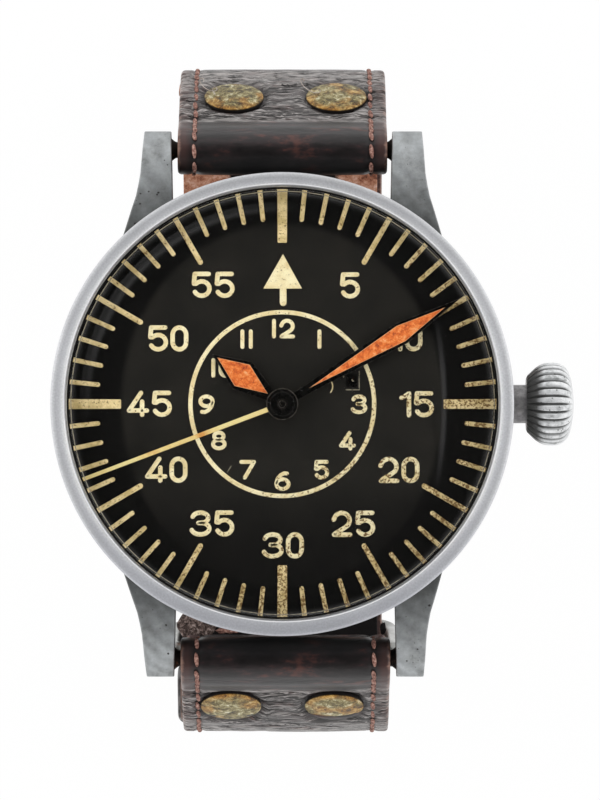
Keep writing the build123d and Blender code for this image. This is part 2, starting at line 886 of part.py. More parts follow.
def heel_wrap():
    """End of the short piece round the buckle's bar, with its tab closing on the inside."""
    radius = heel_bar_diameter / 2 + bar_play + leather
    heel = on_bend(heel_radius, buckle_heel_angle)
    closing = buckle_heel_angle + heel_closing_angle
    wedge = make_face(Polyline(
        lift(on_bend(heel_radius - radius, buckle_heel_angle)), lift(on_bend(lower_bend_6 - leather, closing)),
        lift(on_bend(lower_bend_6, closing)), lift(on_bend(lower_bend_6, buckle_heel_angle)), close=True))
    tab = band_on_bend(lower_bend_6 - leather, lower_bend_6, closing, heel_tab_angle)
    wrap = bar_rod(2 * radius, strap_width / 2, heel) + across(wedge, strap_width) + across(tab, strap_width)
    wrap -= bar_bore(heel_bar_diameter + 2 * bar_play, strap_width, heel)
    slot = Box(tongue_slot, 2 * radius + 2 * bar_play, 2 * radius + 2 * bar_play)
    return wrap - Pos(0, *heel) * Rot(buckle_heel_angle, 0, 0) * slot


def make_strap_6():
    face = band(on_slope(fold_length, 0), short_steps(buckle_heel_angle), 0, leather)
    body = across(face, strap_width) + make_fold() + tab_solid(straight_6, bend_6)
    heel = on_bend(heel_radius, buckle_heel_angle)
    radius = heel_bar_diameter / 2 + bar_play + leather
    slot = Box(tongue_slot, 2 * radius + 2 * bar_play, 2 * radius + 2 * bar_play)
    body = cut_rivet_holes(body) - Pos(0, *heel) * Rot(buckle_heel_angle, 0, 0) * slot
    return on_side(-1, body + heel_wrap())


def make_lining_6():
    face = band(on_slope(fold_length, 0), short_steps(heel_tab_angle), -lining, 0)
    body = across(face, strap_width - 2 * lining_inset) - tab_solid(straight_6, bend_6)
    return on_side(-1, body)


def make_keeper():
    """Leather loop sewn next to the buckle, round both ends of the strap."""
    low = lower_bend_6 - leather - keeper_gap
    high = tail_bend + leather + keeper_gap
    end = keeper_angle + math.degrees(keeper_length / lower_bend_6)
    outside = across(band_on_bend(low - keeper_wall, high + keeper_wall, keeper_angle, end),
                     strap_width + 2 * (keeper_gap + keeper_wall))
    margin = math.degrees(overrun / lower_bend_6)
    inside = across(band_on_bend(low, high, keeper_angle - margin, end + margin), strap_width + 2 * keeper_gap)
    return on_side(-1, outside - inside)


def make_buckle_bar():
    half = strap_width / 2 + buckle_side_gap + buckle_rod
    return on_side(-1, bar_rod(heel_bar_diameter, half, on_bend(heel_radius, buckle_heel_angle)))


def make_buckle_frame():
    """Bent rod: the front bar and two sides that end in eyes round the heel bar."""
    heel, front = on_bend(heel_radius, buckle_heel_angle), on_bend(front_radius, buckle_front_angle)
    x = strap_width / 2 + buckle_side_gap + buckle_rod / 2
    path = FilletPolyline((-x, *heel), (-x, *front), (x, *front), (x, *heel), radius=buckle_corner)
    section = Plane(origin=path @ 0, z_dir=path % 0) * RegularPolygon(buckle_rod / 2, small_sides)
    frame = sweep(section, path=path)
    for side in (-1, 1):
        frame += Pos(side * x, 0, 0) * bar_rod(buckle_eye_diameter, buckle_rod / 2, heel)
    frame -= bar_bore(heel_bar_diameter + 2 * bar_play, 2 * x, heel)
    start, end, normal = tongue_line()
    low = add(end, (-normal[0] * tongue_thickness / 2, -normal[1] * tongue_thickness / 2))
    notch = Box(tongue_width + 4 * face_gap, 4 * buckle_rod, 2 * tongue_seat)
    tilt = math.degrees(math.atan2(normal[1], normal[0]))
    away = tongue_seat - face_gap
    spot = add(low, (normal[0] * away, normal[1] * away))
    return on_side(-1, frame - Pos(0, *spot) * Rot(tilt - 90, 0, 0) * notch)


def make_buckle_tongue():
    """Flat tongue looped round the heel bar, lying in the front bar's notch."""
    heel = on_bend(heel_radius, buckle_heel_angle)
    start, end, normal = tongue_line()
    half = (normal[0] * tongue_thickness / 2, normal[1] * tongue_thickness / 2)
    blade = make_face(Polyline(
        lift(add(start, half)), lift(add(end, half)), lift(add(end, (-half[0], -half[1]))),
        lift(add(start, (-half[0], -half[1]))), close=True))
    loop = bar_rod(tongue_loop_diameter, tongue_width / 2, heel)
    tongue = loop + across(blade, tongue_width)
    return on_side(-1, tongue - bar_bore(heel_bar_diameter + 2 * bar_play, strap_width, heel))


# Crown and winding parts


def make_crown():
    """Fluted grip whose back tapers to the tube and whose end is rounded."""
    end = crown_start + crown_length
    widest = crown_start + crown_length / 2
    crown = faceted([
        (0, crown_start), (crown_back_diameter / 2, crown_start),
        (crown_shoulder_diameter / 2, crown_start + crown_taper_length), (crown_diameter / 2, widest),
        (crown_shoulder_diameter / 2, end - crown_taper_length / 2), (crown_end_diameter / 2, end - crown_rounding),
        (crown_end_diameter / 4, end), (0, end),
    ], 2 * crown_flutes, crown_flute_share)
    crown -= hole(tube_diameter + 4 * face_gap, crown_start - overrun, tube_end + face_gap)
    crown -= hole(stem_diameter + 2 * fit_gap, crown_start - overrun, stem_end + fit_gap)
    return along_stem(crown)


def make_crown_tube():
    bore = stem_diameter + 4 * running_gap
    return along_stem(ring(tube_diameter, bore, tube_start, tube_end))


def make_winding_stem():
    stem = disc(stem_diameter, stem_square_end, stem_end)
    stem += Pos(0, 0, stem_square_start) * Box(
        stem_square, stem_square, stem_square_end - stem_square_start, align=(Align.CENTER, Align.CENTER, Align.MIN))
    stem += disc(stem_pilot_diameter, stem_pilot_start, stem_square_start)
    half = groove_width / 2
    stem -= ring(stem_diameter + overrun, groove_diameter, groove_place - half, groove_place + half)
    return along_stem(stem)


winding_tip = stem_height - ratchet_top - running_gap
pinion_module = winding_tip / (winding_pinion_teeth / 2 + tooth_top_share)


def make_winding_pinion():
    start, end = winding_pinion_start, winding_pinion_start + winding_pinion_length
    pinion = gear(winding_pinion_teeth, pinion_module, 0, start, end)
    return along_stem(pinion - hole(stem_diameter + 2 * running_gap, start - overrun, end + overrun))


def make_sliding_pinion():
    """Clutch pinion with its yoke groove and square hole."""
    start, end = sliding_pinion_start, sliding_pinion_start + sliding_pinion_length
    pinion = disc(sliding_pinion_diameter, start, end)
    middle = (start + end) / 2
    half = sliding_groove_length / 2
    pinion -= ring(sliding_pinion_diameter + overrun, sliding_pinion_diameter - 2 * sliding_groove_depth,
                   middle - half, middle + half)
    side = stem_square + 2 * running_gap
    return along_stem(pinion - Pos(0, 0, middle) * Box(side, side, 2 * sliding_pinion_length))


def make_crown_wheel():
    wheel = gear(crown_wheel_teeth, winding_module, crown_wheel_phase, ratchet_bottom, ratchet_top, crown_wheel_at)
    return wheel - hole(crown_wheel_boss + 2 * running_gap, ratchet_bottom - overrun, ratchet_top + overrun,
                        crown_wheel_at)


def make_ratchet_wheel():
    wheel = gear(ratchet_teeth, winding_module, 0, ratchet_bottom, ratchet_top, barrel_at)
    side = stem_square + barrel_arbor_diameter / 4
    return wheel - Pos(*barrel_at, ratchet_bottom) * Box(side, side, 2 * overrun)


def tapered_arm(start, end, start_width, end_width, bottom, top):
    """Flat arm with a round at each end."""
    angle = bearing(start, end) + 90
    corners = []
    for point, width, way in ((start, start_width, 1), (end, end_width, 1), (end, end_width, -1),
                              (start, start_width, -1)):
        corners.append(add(point, polar(way * width / 2, angle)))
    arm = prism(corners, bottom, top)
    return arm + disc(start_width, bottom, top, start) + disc(end_width, bottom, top, end)


def click_at():
    reach = tip_diameter(ratchet_teeth, winding_module) / 2 + click_clear + click_pivot_diameter / 2
    return add(barrel_at, polar(reach + click_nose, click_bearing))


def make_click():
    """Click with its beak just clear of the ratchet's tips."""
    pivot = click_at()
    reach = tip_diameter(ratchet_teeth, winding_module) / 2 + click_clear
    beak = add(barrel_at, polar(reach, click_bearing - click_beak_angle))
    root = add(pivot, polar(click_pivot_diameter / 2, click_bearing - 90))
    body = disc(click_pivot_diameter, ratchet_bottom, ratchet_top, pivot)
    back = add(pivot, polar(click_pivot_diameter / 2, click_bearing + 180))
    body += prism([beak, root, back], ratchet_bottom, ratchet_top)
    return body - hole(screw_shank + 2 * running_gap, ratchet_bottom - overrun, ratchet_top + overrun, pivot)


def make_click_spring():
    """Bent strip behind the click, screwed to the bridge."""
    pivot = click_at()
    outward = click_bearing
    side = click_pivot_diameter / 2 + click_spring_strip / 2 + face_gap
    end = add(pivot, polar(side, outward))
    base = add(end, polar(click_spring_length, outward - 90))
    foot = disc(click_spring_foot, ratchet_bottom, ratchet_top, base)
    return tapered_arm(end, base, click_spring_strip, click_spring_strip, ratchet_bottom, ratchet_top) + foot


def make_setting_lever():
    """Lever in the plate's dial side, with its pin down in the stem's groove."""
    pivot, pin = (lever_pivot_x, lever_pivot_y), (groove_place, 0)
    bottom = plate_top - lever_pocket + face_gap
    lever = tapered_arm(pivot, pin, lever_width * 3, lever_pin_diameter * 2, bottom, bottom + lever_plate)
    pin_end = stem_height + groove_diameter / 2 + face_gap
    lever += disc(lever_pin_diameter, pin_end, bottom, pin)
    return lever - hole(screw_shank, bottom - overrun, bottom + overrun, pivot)


# Wheel train


def stack(*parts):
    """Round pieces on one arbor, given as (diameter, bottom, top)."""
    solid = disc(*parts[0])
    for part in parts[1:]:
        solid += disc(*part)
    return solid


def at(point, shape):
    return Pos(point[0], point[1], 0) * shape


def spiral(inner, outer, turns, strip, bottom, top):
    """Flat coiled strip, drawn as straight chords."""
    steps = turns * spiral_points
    edges = ([], [])
    for i in range(steps + 1):
        radius = inner + strip / 2 + (outer - inner - strip) * i / steps
        angle = 360 * i / spiral_points
        edges[0].append(polar(radius + strip / 2, angle))
        edges[1].append(polar(radius - strip / 2, angle))
    return prism(edges[0] + edges[1][::-1], bottom, top)


def make_barrel():
    """Open drum with its toothed flange at the plate's side."""
    root = barrel_module * (barrel_teeth / 2 - tooth_root_share)
    drum = 2 * (root - face_gap)
    barrel = disc(drum, barrel_bottom, barrel_top, barrel_at)
    barrel += gear(barrel_teeth, barrel_module, barrel_phase, barrel_top - flange_height, barrel_top, barrel_at)
    inner = drum - 2 * barrel_wall
    barrel -= hole(inner, barrel_bottom - overrun, barrel_top - barrel_floor, barrel_at)
    return barrel - hole(barrel_arbor_diameter + 2 * running_gap, barrel_bottom, barrel_top + overrun, barrel_at)


def make_barrel_cover():
    root = barrel_module * (barrel_teeth / 2 - tooth_root_share)
    outer = 2 * (root - face_gap - barrel_wall - fit_gap)
    return ring(outer, barrel_arbor_diameter + 2 * running_gap, barrel_bottom, barrel_bottom + barrel_floor,
                barrel_at)


def make_barrel_arbor():
    """Arbor with the spring's hub, and the square that carries the ratchet wheel."""
    low, high = barrel_bottom + barrel_floor + running_gap, barrel_top - barrel_floor - running_gap
    arbor = stack((barrel_arbor_diameter, ratchet_top, plate_bottom + wheel_recess), (barrel_hub_diameter, low, high))
    side = stem_square + barrel_arbor_diameter / 4 - 2 * fit_gap
    arbor += Pos(0, 0, ratchet_bottom) * Box(side, side, ratchet_top - ratchet_bottom,
                                             align=(Align.CENTER, Align.CENTER, Align.MIN))
    return at(barrel_at, arbor)


def make_mainspring():
    low, high = barrel_bottom + barrel_floor + running_gap, barrel_top - barrel_floor - running_gap
    return at(barrel_at, spiral(mainspring_inner, mainspring_outer, mainspring_turns, mainspring_strip, low, high))


def make_centre_wheel():
    """Centre wheel, its pinion under it, and the hollow arbor that carries the cannon pinion."""
    wheel = spoked_wheel(centre_teeth, centre_module, centre_phase, centre_bottom, centre_top,
                         centre_pinion_teeth * barrel_module)
    wheel += gear(centre_pinion_teeth, barrel_module, centre_pinion_phase, third_top + wheel_gap, centre_bottom)
    wheel += disc(centre_arbor_diameter, centre_bottom, minute_hand_bottom)
    return wheel - hole(fourth_arbor_diameter + 2 * running_gap, third_top, minute_hand_top)


def make_third_wheel():
    """Third wheel with its pinion, which the centre wheel drives."""
    wheel = spoked_wheel(third_teeth, third_module, third_phase, third_bottom, third_top,
                         2 * arbor_diameter, third_at)
    wheel += gear(third_pinion_teeth, centre_module, third_pinion_phase, third_top, centre_top, third_at)
    return wheel + disc(arbor_diameter, bridge_top - pivot_reach, recess_top + pivot_reach, third_at)


def make_fourth_wheel():
    """Seconds wheel on the long arbor that passes up through the centre wheel's."""
    wheel = spoked_wheel(fourth_teeth, fourth_module, fourth_phase, fourth_bottom, fourth_top, 2 * arbor_diameter)
    wheel += gear(fourth_pinion_teeth, third_module, fourth_pinion_phase, fourth_top, third_top)
    return wheel + disc(fourth_arbor_diameter, bridge_top - pivot_reach, seconds_bottom)


def escape_points():
    """Narrow forward-leaning teeth, four points each."""
    tip, root = escape_diameter / 2, escape_diameter / 2 - escape_tooth_depth
    land = math.degrees(escape_tip_width / 2 / tip)
    pitch = 360 / escape_teeth
    points = []
    for i in range(escape_teeth):
        middle = escape_phase + i * pitch
        points += [polar(root, middle - pitch * tooth_back_share), polar(tip, middle - land)]
        points += [polar(tip, middle + land), polar(root, middle + pitch * tooth_front_share)]
    return points


def make_escape_wheel():
    wheel = at(escape_at, prism(escape_points(), escape_bottom, escape_top))
    rim = escape_diameter / 2 - escape_tooth_depth - wheel_rim / 2
    for window in spoke_windows(rim, escape_hub, wheel_arms, escape_phase, escape_bottom, escape_top, escape_at):
        wheel -= window
    wheel += gear(escape_pinion_teeth, fourth_module, escape_pinion_phase, fourth_bottom - face_gap,
                  escape_bottom, escape_at)
    return wheel + disc(arbor_diameter, bridge_top - pivot_reach, plate_bottom + pivot_reach, escape_at)


def toward_balance(along, side):
    """Point beside the line from the pallet arbor to the balance staff."""
    return add(pallet_at, add(polar(along, balance_angle), polar(side, balance_angle + 90)))


def stone_spot(way, off):
    """Point off the escape wheel's tips, where a pallet stone stands."""
    return add(escape_at, polar(escape_diameter / 2 + off, balance_angle + way * stone_angle))


def make_pallet_fork():
    """Lever with two arms for the stones and a fork round the balance's pin orbit."""
    end = balance_reach - roller_pin_orbit
    half, wide = lever_width / 2, fork_width / 2
    notch = roller_pin_diameter / 2 + running_gap
    outline = [(0, half), (end - fork_depth, half), (end, wide), (end, notch), (end - fork_depth, notch),
               (end - fork_depth, -notch), (end, -notch), (end, -wide), (end - fork_depth, -half), (0, -half)]
    fork = prism([toward_balance(*p) for p in outline], escape_bottom, escape_top)
    for way in (-1, 1):
        tip = stone_spot(way, stone_length + running_gap - stone_hold)
        fork += tapered_arm(pallet_at, tip, lever_width, pallet_arm_width, escape_bottom, escape_top)
        fork -= stone(way, fit_gap)
    swept = disc(escape_diameter + 4 * stone_lock, escape_bottom - overrun, escape_top + overrun, escape_at)
    fork -= swept
    return fork + disc(arbor_diameter, pallet_cock_top - pivot_reach, plate_bottom + pivot_reach, pallet_at)


def stone(way, margin):
    """Pallet stone lying along the escape wheel's radius."""
    middle = stone_spot(way, stone_length / 2 + running_gap)
    box = Box(stone_length + 2 * margin, stone_width + 2 * margin, escape_top - escape_bottom)
    turn = balance_angle + way * stone_angle
    return Pos(*middle, (escape_bottom + escape_top) / 2) * Rot(0, 0, turn) * box


def make_pallet_stones():
    return Compound([stone(way, 0) for way in (-1, 1)])


def make_balance_wheel():
    """Balance with two arms on its staff, and the roller with its pin."""
    low = balance_bottom
    rim = ring(balance_diameter, balance_diameter - 2 * balance_rim, low, low + balance_rim_height)
    arm = Pos(0, 0, low) * Rot(0, 0, balance_angle) * Box(
        balance_diameter - balance_rim, balance_arm, wheel_thickness, align=(Align.CENTER, Align.CENTER, Align.MIN))
    staff = disc(arbor_diameter, cock_top - pivot_reach, plate_bottom + pivot_reach)
    collet = disc(collet_diameter, hairspring_bottom, low)
    roller_bottom = escape_bottom - running_gap - wheel_thickness
    roller = disc(roller_diameter, roller_bottom - wheel_thickness, roller_bottom)
    pin = disc(roller_pin_diameter, roller_bottom, escape_bottom - running_gap,
               polar(roller_pin_orbit, balance_angle + 180))
    return at(balance_at, rim + arm + staff + collet + roller + pin)


def make_hairspring():
    """Flat balance spring with its stud at the cock."""
    top = hairspring_bottom + hairspring_height
    coil = spiral(hairspring_inner, hairspring_outer, hairspring_turns, hairspring_strip, hairspring_bottom, top)
    stud = disc(stud_diameter, cock_top, top, (hairspring_outer, 0))
    return at(balance_at, Rot(0, 0, stud_angle) * (coil + stud))


def make_regulator():
    """Index that turns round the cock's boss, with its tail over the cock."""
    low = cock_bottom - face_gap - regulator_thickness
    high = cock_bottom - face_gap
    tail = tapered_arm((0, 0), polar(regulator_tail, regulator_angle), regulator_ring / 2, regulator_width, low, high)
    index = disc(regulator_ring, low, high) + tail
    return at(balance_at, index - hole(cock_boss_diameter + 2 * running_gap, low - overrun, high + overrun))


# Plates and bridges


def bridge_area(bottom, top, side):
    """Round of the movement on one side of the split between the two bridges."""
    radius = movement_diameter / 2 - bridge_inset
    body = disc(2 * radius, bottom, top)
    width = 2 * movement_diameter
    offset = bridge_split - bridge_kerf if side < 0 else bridge_split
    middle = polar(offset + side * width / 2, barrel_angle)
    half = Pos(*middle, (bottom + top) / 2) * Rot(0, 0, barrel_angle) * Box(width, width, 2 * (top - bottom))
    return body & half


def feet(spots):
    solids = []
    for radius, angle in spots:
        solids.append(disc(foot_diameter, bridge_bottom, plate_bottom, polar(radius, angle)))
    return solids


def screw_spots():
    """Bridge screws, one over each foot."""
    return [polar(radius, angle) for radius, angle in barrel_feet + train_feet] + [cock_foot_at]


def jewel_holes(body, spots, bottom, top):
    for spot in spots:
        body -= hole(jewel_diameter, bottom - overrun, top + overrun, spot)
    return body


def screw_hole(spot, bottom, head_top, end):
    """Countersunk round for a screw's head over the hole for its shank."""
    head = disc(screw_diameter + 2 * running_gap, bottom - overrun, head_top, spot)
    return head + disc(screw_shank + 2 * running_gap, bottom, end, spot)


def make_barrel_bridge():
    bridge = bridge_area(bridge_bottom, bridge_top, 1)
    for foot in feet(barrel_feet):
        bridge += foot
    bridge += disc(crown_wheel_boss, ratchet_bottom, bridge_bottom, crown_wheel_at)
    bridge -= hole(barrel_arbor_diameter + 2 * running_gap, bridge_bottom - overrun, bridge_top + overrun, barrel_at)
    start = winding_pinion_start - 2 * face_gap
    end = winding_pinion_start + winding_pinion_length + 2 * face_gap
    half = winding_tip + running_gap
    bridge -= block((start, -half, bridge_bottom - overrun), (end, half, bridge_top + overrun))
    return cut_screws(bridge, barrel_feet)


def cut_screws(bridge, spots):
    for radius, angle in spots:
        bridge -= screw_hole(polar(radius, angle), bridge_bottom, bridge_bottom + screw_head, plate_bottom + overrun)
    return bridge


def make_train_bridge():
    bridge = bridge_area(bridge_bottom, bridge_top, -1)
    room = balance_diameter + 2 * balance_room
    bridge -= hole(room, bridge_bottom - overrun, bridge_top + overrun, balance_at)
    bridge -= hole(cock_width + 2 * balance_room, bridge_bottom - overrun, bridge_top + overrun, cock_foot_at)
    for foot in feet(train_feet):
        bridge += foot
    bridge = jewel_holes(bridge, [(0, 0), third_at, escape_at], bridge_bottom, bridge_top)
    solids = bridge.solids().sort_by(SortBy.VOLUME)
    return cut_screws(solids[-1], train_feet)


def make_balance_cock():
    """Cock over the balance: its foot stands on the plate and its arm ends round the staff's jewel."""
    cock = tapered_arm(cock_foot_at, balance_at, cock_width, cock_nose_diameter, cock_bottom, cock_top)
    cock += disc(cock_width, cock_bottom, plate_bottom, cock_foot_at)
    cock += disc(cock_boss_diameter, cock_bottom - face_gap - regulator_thickness, cock_bottom, balance_at)
    cock = jewel_holes(cock, [balance_at], cock_bottom - overrun, cock_top)
    cock -= screw_hole(cock_foot_at, cock_bottom, cock_bottom + screw_head, plate_bottom + overrun)
    foot_clear = ring(2 * balance_diameter, cock_width, cock_top, plate_bottom, cock_foot_at)
    return cock - foot_clear


def make_pallet_cock():
    """Small cock that holds the pallet arbor under the balance."""
    foot = toward_balance(0, pallet_foot_reach)
    cock = tapered_arm(foot, pallet_at, pallet_foot_diameter, pallet_nose_diameter, pallet_cock_bottom,
                       pallet_cock_top)
    cock += disc(pallet_foot_diameter, pallet_cock_bottom, plate_bottom, foot)
    return cock - hole(jewel_diameter, pallet_cock_bottom - overrun, pallet_cock_top + overrun, pallet_at)


def make_main_plate():
    plate = disc(movement_diameter, plate_bottom, plate_top)
    sweep_clear = tip_diameter(centre_teeth, centre_module) + 2 * wheel_gap
    plate -= hole(sweep_clear, plate_bottom - overrun, recess_top)
    pinion_room = tip_diameter(third_pinion_teeth, centre_module) + 2 * wheel_gap
    plate -= hole(pinion_room, plate_bottom - overrun, recess_top, third_at)
    motion_room = tip_diameter(minute_teeth, motion_module) + 2 * wheel_gap
    hour_room = tip_diameter(hour_teeth, motion_module) + 2 * wheel_gap
    plate -= hole(motion_room, motion_floor, plate_top + overrun, minute_at)
    plate -= hole(hour_room, motion_floor, plate_top + overrun)
    plate -= hole(centre_arbor_diameter + 2 * running_gap, plate_bottom, plate_top)
    plate -= hole(barrel_arbor_diameter + 2 * running_gap, plate_bottom - overrun, plate_bottom + wheel_recess
                  + face_gap, barrel_at)
    plate -= winding_room()
    for spot in (escape_at, pallet_at, balance_at):
        plate -= hole(jewel_diameter, plate_bottom - overrun, plate_bottom + jewel_height, spot)
    plate -= hole(jewel_diameter, recess_top - overrun / 4, recess_top + jewel_height, third_at)
    for side in (-1, 1):
        plate -= hole(dial_foot_diameter + 2 * fit_gap, plate_top - dial_foot_length, plate_top + overrun,
                      dial_foot_at(side))
    for spot in screw_spots():
        plate -= hole(screw_shank + 2 * running_gap, plate_bottom - overrun, plate_bottom + screw_reach, spot)
    plate += disc(minute_post_diameter, motion_floor, hour_bottom, minute_at)
    return plate + pilot_block()


def winding_room():
    """Opening for the pinions and the stem's lever, open at the plate's edge."""
    half = winding_tip + running_gap
    start = sliding_pinion_start - 2 * running_gap
    end = winding_pinion_start + winding_pinion_length + 2 * running_gap
    room = block((start, -half, plate_bottom - overrun), (end, half, plate_top + overrun))
    room += block((end, -groove_width, plate_bottom - overrun), (movement_diameter, groove_width, plate_top + overrun))
    low = plate_top - lever_pocket
    return room + block((lever_pivot_x - lever_room, -groove_width, low),
                        (movement_diameter, lever_pivot_y + lever_room, plate_top + overrun))


def pilot_block():
    """Block on the plate with the hole for the stem's pilot."""
    start, end = stem_pilot_start + 2 * running_gap, stem_square_start - 2 * running_gap
    half = stem_pilot_diameter
    solid = block((start, -half, stem_height - half), (end, half, plate_bottom + wheel_recess))
    return solid - along_stem(disc(stem_pilot_diameter + 2 * running_gap, start - overrun, end + overrun))


def dial_foot_at(side):
    return polar(side * dial_foot_place, dial_foot_angle)


def make_jewels():
    """Ring jewels in the bridges, the cocks and the plate."""
    group = []
    outer = jewel_diameter - 2 * fit_gap
    bridge_low = bridge_top - jewel_height
    for spot, arbor in (((0, 0), fourth_arbor_diameter), (third_at, arbor_diameter), (escape_at, arbor_diameter)):
        group.append(ring(outer, arbor + 2 * running_gap, bridge_low, bridge_top, spot))
    bore = arbor_diameter + 2 * running_gap
    group.append(ring(outer, bore, cock_top - jewel_height, cock_top, balance_at))
    group.append(ring(outer, bore, pallet_cock_top - jewel_height, pallet_cock_top, pallet_at))
    for spot in (escape_at, pallet_at, balance_at):
        group.append(ring(outer, bore, plate_bottom, plate_bottom + jewel_height, spot))
    group.append(ring(outer, bore, recess_top, recess_top + jewel_height, third_at))
    return Compound(group)


def screw_solid(spot, bottom, end):
    head = disc(screw_diameter, bottom, bottom + screw_head, spot)
    slot = Pos(*spot, bottom) * Box(2 * screw_diameter, screw_slot, screw_head)
    return head + disc(screw_shank, bottom, end, spot) - slot


def make_bridge_screws():
    end = plate_bottom + screw_reach
    group = [screw_solid(polar(r, a), bridge_bottom, end) for r, a in barrel_feet + train_feet]
    group.append(screw_solid(cock_foot_at, cock_bottom, end))
    return Compound(group)


def make_case_clamps():
    """Half-headed screws that hold the movement against the case's ring."""
    group = []
    for angle in clamp_angles:
        spot = polar(clamp_place, angle)
        low = plate_bottom - clamp_head
        group.append(disc(clamp_diameter, low, plate_bottom, spot))
    return Compound(group)


# Under the dial


def make_cannon_pinion():
    """Tube on the centre arbor that carries the minute hand."""
    pinion = gear(cannon_teeth, motion_module, cannon_phase, cannon_bottom, cannon_top)
    pinion += disc(cannon_diameter, cannon_top, minute_hand_bottom)
    return pinion - hole(centre_arbor_diameter + 2 * fit_gap, cannon_bottom - overrun, minute_hand_top)


def make_minute_wheel():
    wheel = gear(minute_teeth, motion_module, minute_phase, cannon_bottom, cannon_top - face_gap, minute_at)
    wheel += gear(minute_pinion_teeth, motion_module, minute_pinion_phase, cannon_top - face_gap, hour_top,
                  minute_at)
    bore = minute_post_diameter + 2 * running_gap
    return wheel - hole(bore, cannon_bottom - overrun, hour_top + overrun, minute_at)


def make_hour_wheel():
    wheel = gear(hour_teeth, motion_module, hour_phase, hour_bottom, hour_top)
    wheel += disc(hour_tube_diameter, hour_top, hour_hand_bottom)
    return wheel - hole(cannon_diameter + 2 * running_gap, hour_bottom - overrun, hour_hand_top + overrun)


# Dial and hands


def make_dial():
    dial = disc(dial_diameter, dial_bottom, dial_top)
    for side in (-1, 1):
        dial += disc(dial_foot_diameter, plate_top - dial_foot_length + face_gap, dial_bottom, dial_foot_at(side))
    return dial - hole(dial_hole, dial_bottom - overrun, dial_top + overrun)


def clockwise(angle, shape):
    """Turn a shape that points to twelve o'clock."""
    return Rot(0, 0, -angle) * shape


def make_dial_markings():
    """Minute track, hour ring and arrow, standing on the dial as a paint layer."""
    top = dial_top + mark_height
    marks = [ring(hour_ring_diameter, hour_ring_diameter - 2 * hour_ring_width, dial_top, top)]
    for minute in range(minute_count):
        inner, width = track_inner_minor / 2, track_width_minor
        if minute % 5 == 0:
            inner, width = track_inner_five / 2, track_width_five
        if minute % 15 == 0:
            width = track_width_quarter
        bar = block((-width / 2, inner, dial_top), (width / 2, track_outer / 2, top))
        marks.append(clockwise(360 * minute / minute_count, bar))
    half, stem = arrow_width / 2, arrow_stem_width / 2
    marks.append(prism([(0, arrow_tip), (half, arrow_base), (stem, arrow_base), (stem, arrow_stem_end),
                        (-stem, arrow_stem_end), (-stem, arrow_base), (-half, arrow_base)], dial_top, top))
    return Compound(marks)


def lozenge(root, start, waist, width, tip):
    """Half-open leaf outline of a hand, from its root to its tip."""
    half = width / 2
    return [(-root / 2, start), (-half, waist), (0, tip), (half, waist), (root / 2, start)]


def hand_window(length, width, waist, start, root, margin):
    """Opening of a hand, set in from its outline."""
    half = width / 2 - margin
    tip = length - margin * 2 * length / (width + length / 2)
    return [(-root / 4, start), (-half, waist), (0, tip), (half, waist), (root / 4, start)]


def make_hand(length, width, waist, root, lume_start, hub, bore, bottom, angle):
    """Frame of a luminous hand, with its collet round the pipe."""
    top = bottom + hand_thickness
    hand = prism(lozenge(root, 0, waist, width, length), bottom, top) + disc(hub, bottom, top)
    hand -= prism(hand_window(length, width, waist, lume_start, root, lume_margin), bottom - overrun, top + overrun)
    return clockwise(angle, hand - hole(bore, bottom - overrun, top + overrun))


def make_lume(length, width, waist, root, lume_start, bottom, angle):
    """Luminous fill of a hand's opening."""
    window = hand_window(length, width, waist, lume_start + fit_gap, root - 4 * fit_gap, lume_margin + fit_gap)
    return clockwise(angle, prism(window, bottom, bottom + hand_thickness))


def make_seconds_hand():
    top = seconds_bottom + hand_thickness
    half, tip = seconds_hand_width / 2, seconds_tip_width / 2
    needle = prism([(-half, 0), (-tip, seconds_hand_length), (tip, seconds_hand_length), (half, 0)],
                   seconds_bottom, top)
    boss = faceted([
        (0, seconds_bottom), (seconds_boss_diameter / 2, seconds_bottom),
        (seconds_boss_diameter / 2, top), (seconds_boss_diameter / 2 - seconds_boss_height, seconds_top),
        (0, seconds_top),
    ], middle_sides)
    pin = disc(seconds_pin_diameter, seconds_top, seconds_top + seconds_pin_height)
    return clockwise(seconds_hand_angle, needle + boss + pin)


# Gear phases, each set so that teeth meet gaps at rest
centre_phase = 0
centre_pinion_phase = 0
barrel_phase = meshed(centre_pinion_phase, centre_pinion_teeth, barrel_teeth, barrel_angle)
third_pinion_phase = meshed(centre_phase, centre_teeth, third_pinion_teeth, third_angle)
third_phase = 0
fourth_pinion_phase = meshed(third_phase, third_teeth, fourth_pinion_teeth, third_angle + 180)
fourth_phase = 0
escape_phase = balance_angle
escape_pinion_phase = meshed(fourth_phase, fourth_teeth, escape_pinion_teeth, escape_angle)
cannon_phase = 0
minute_phase = meshed(cannon_phase, cannon_teeth, minute_teeth, minute_wheel_angle)
minute_pinion_phase = 0
hour_phase = meshed(minute_pinion_phase, minute_pinion_teeth, hour_teeth, minute_wheel_angle + 180)
crown_wheel_phase = meshed(0, ratchet_teeth, crown_wheel_teeth, bearing(barrel_at, crown_wheel_at))

hour_hand = (hour_hand_length, hour_hand_width, hour_hand_waist, hour_hand_root, hour_lume_start)
minute_hand = (minute_hand_length, minute_hand_width, minute_hand_waist, minute_hand_root, minute_lume_start)

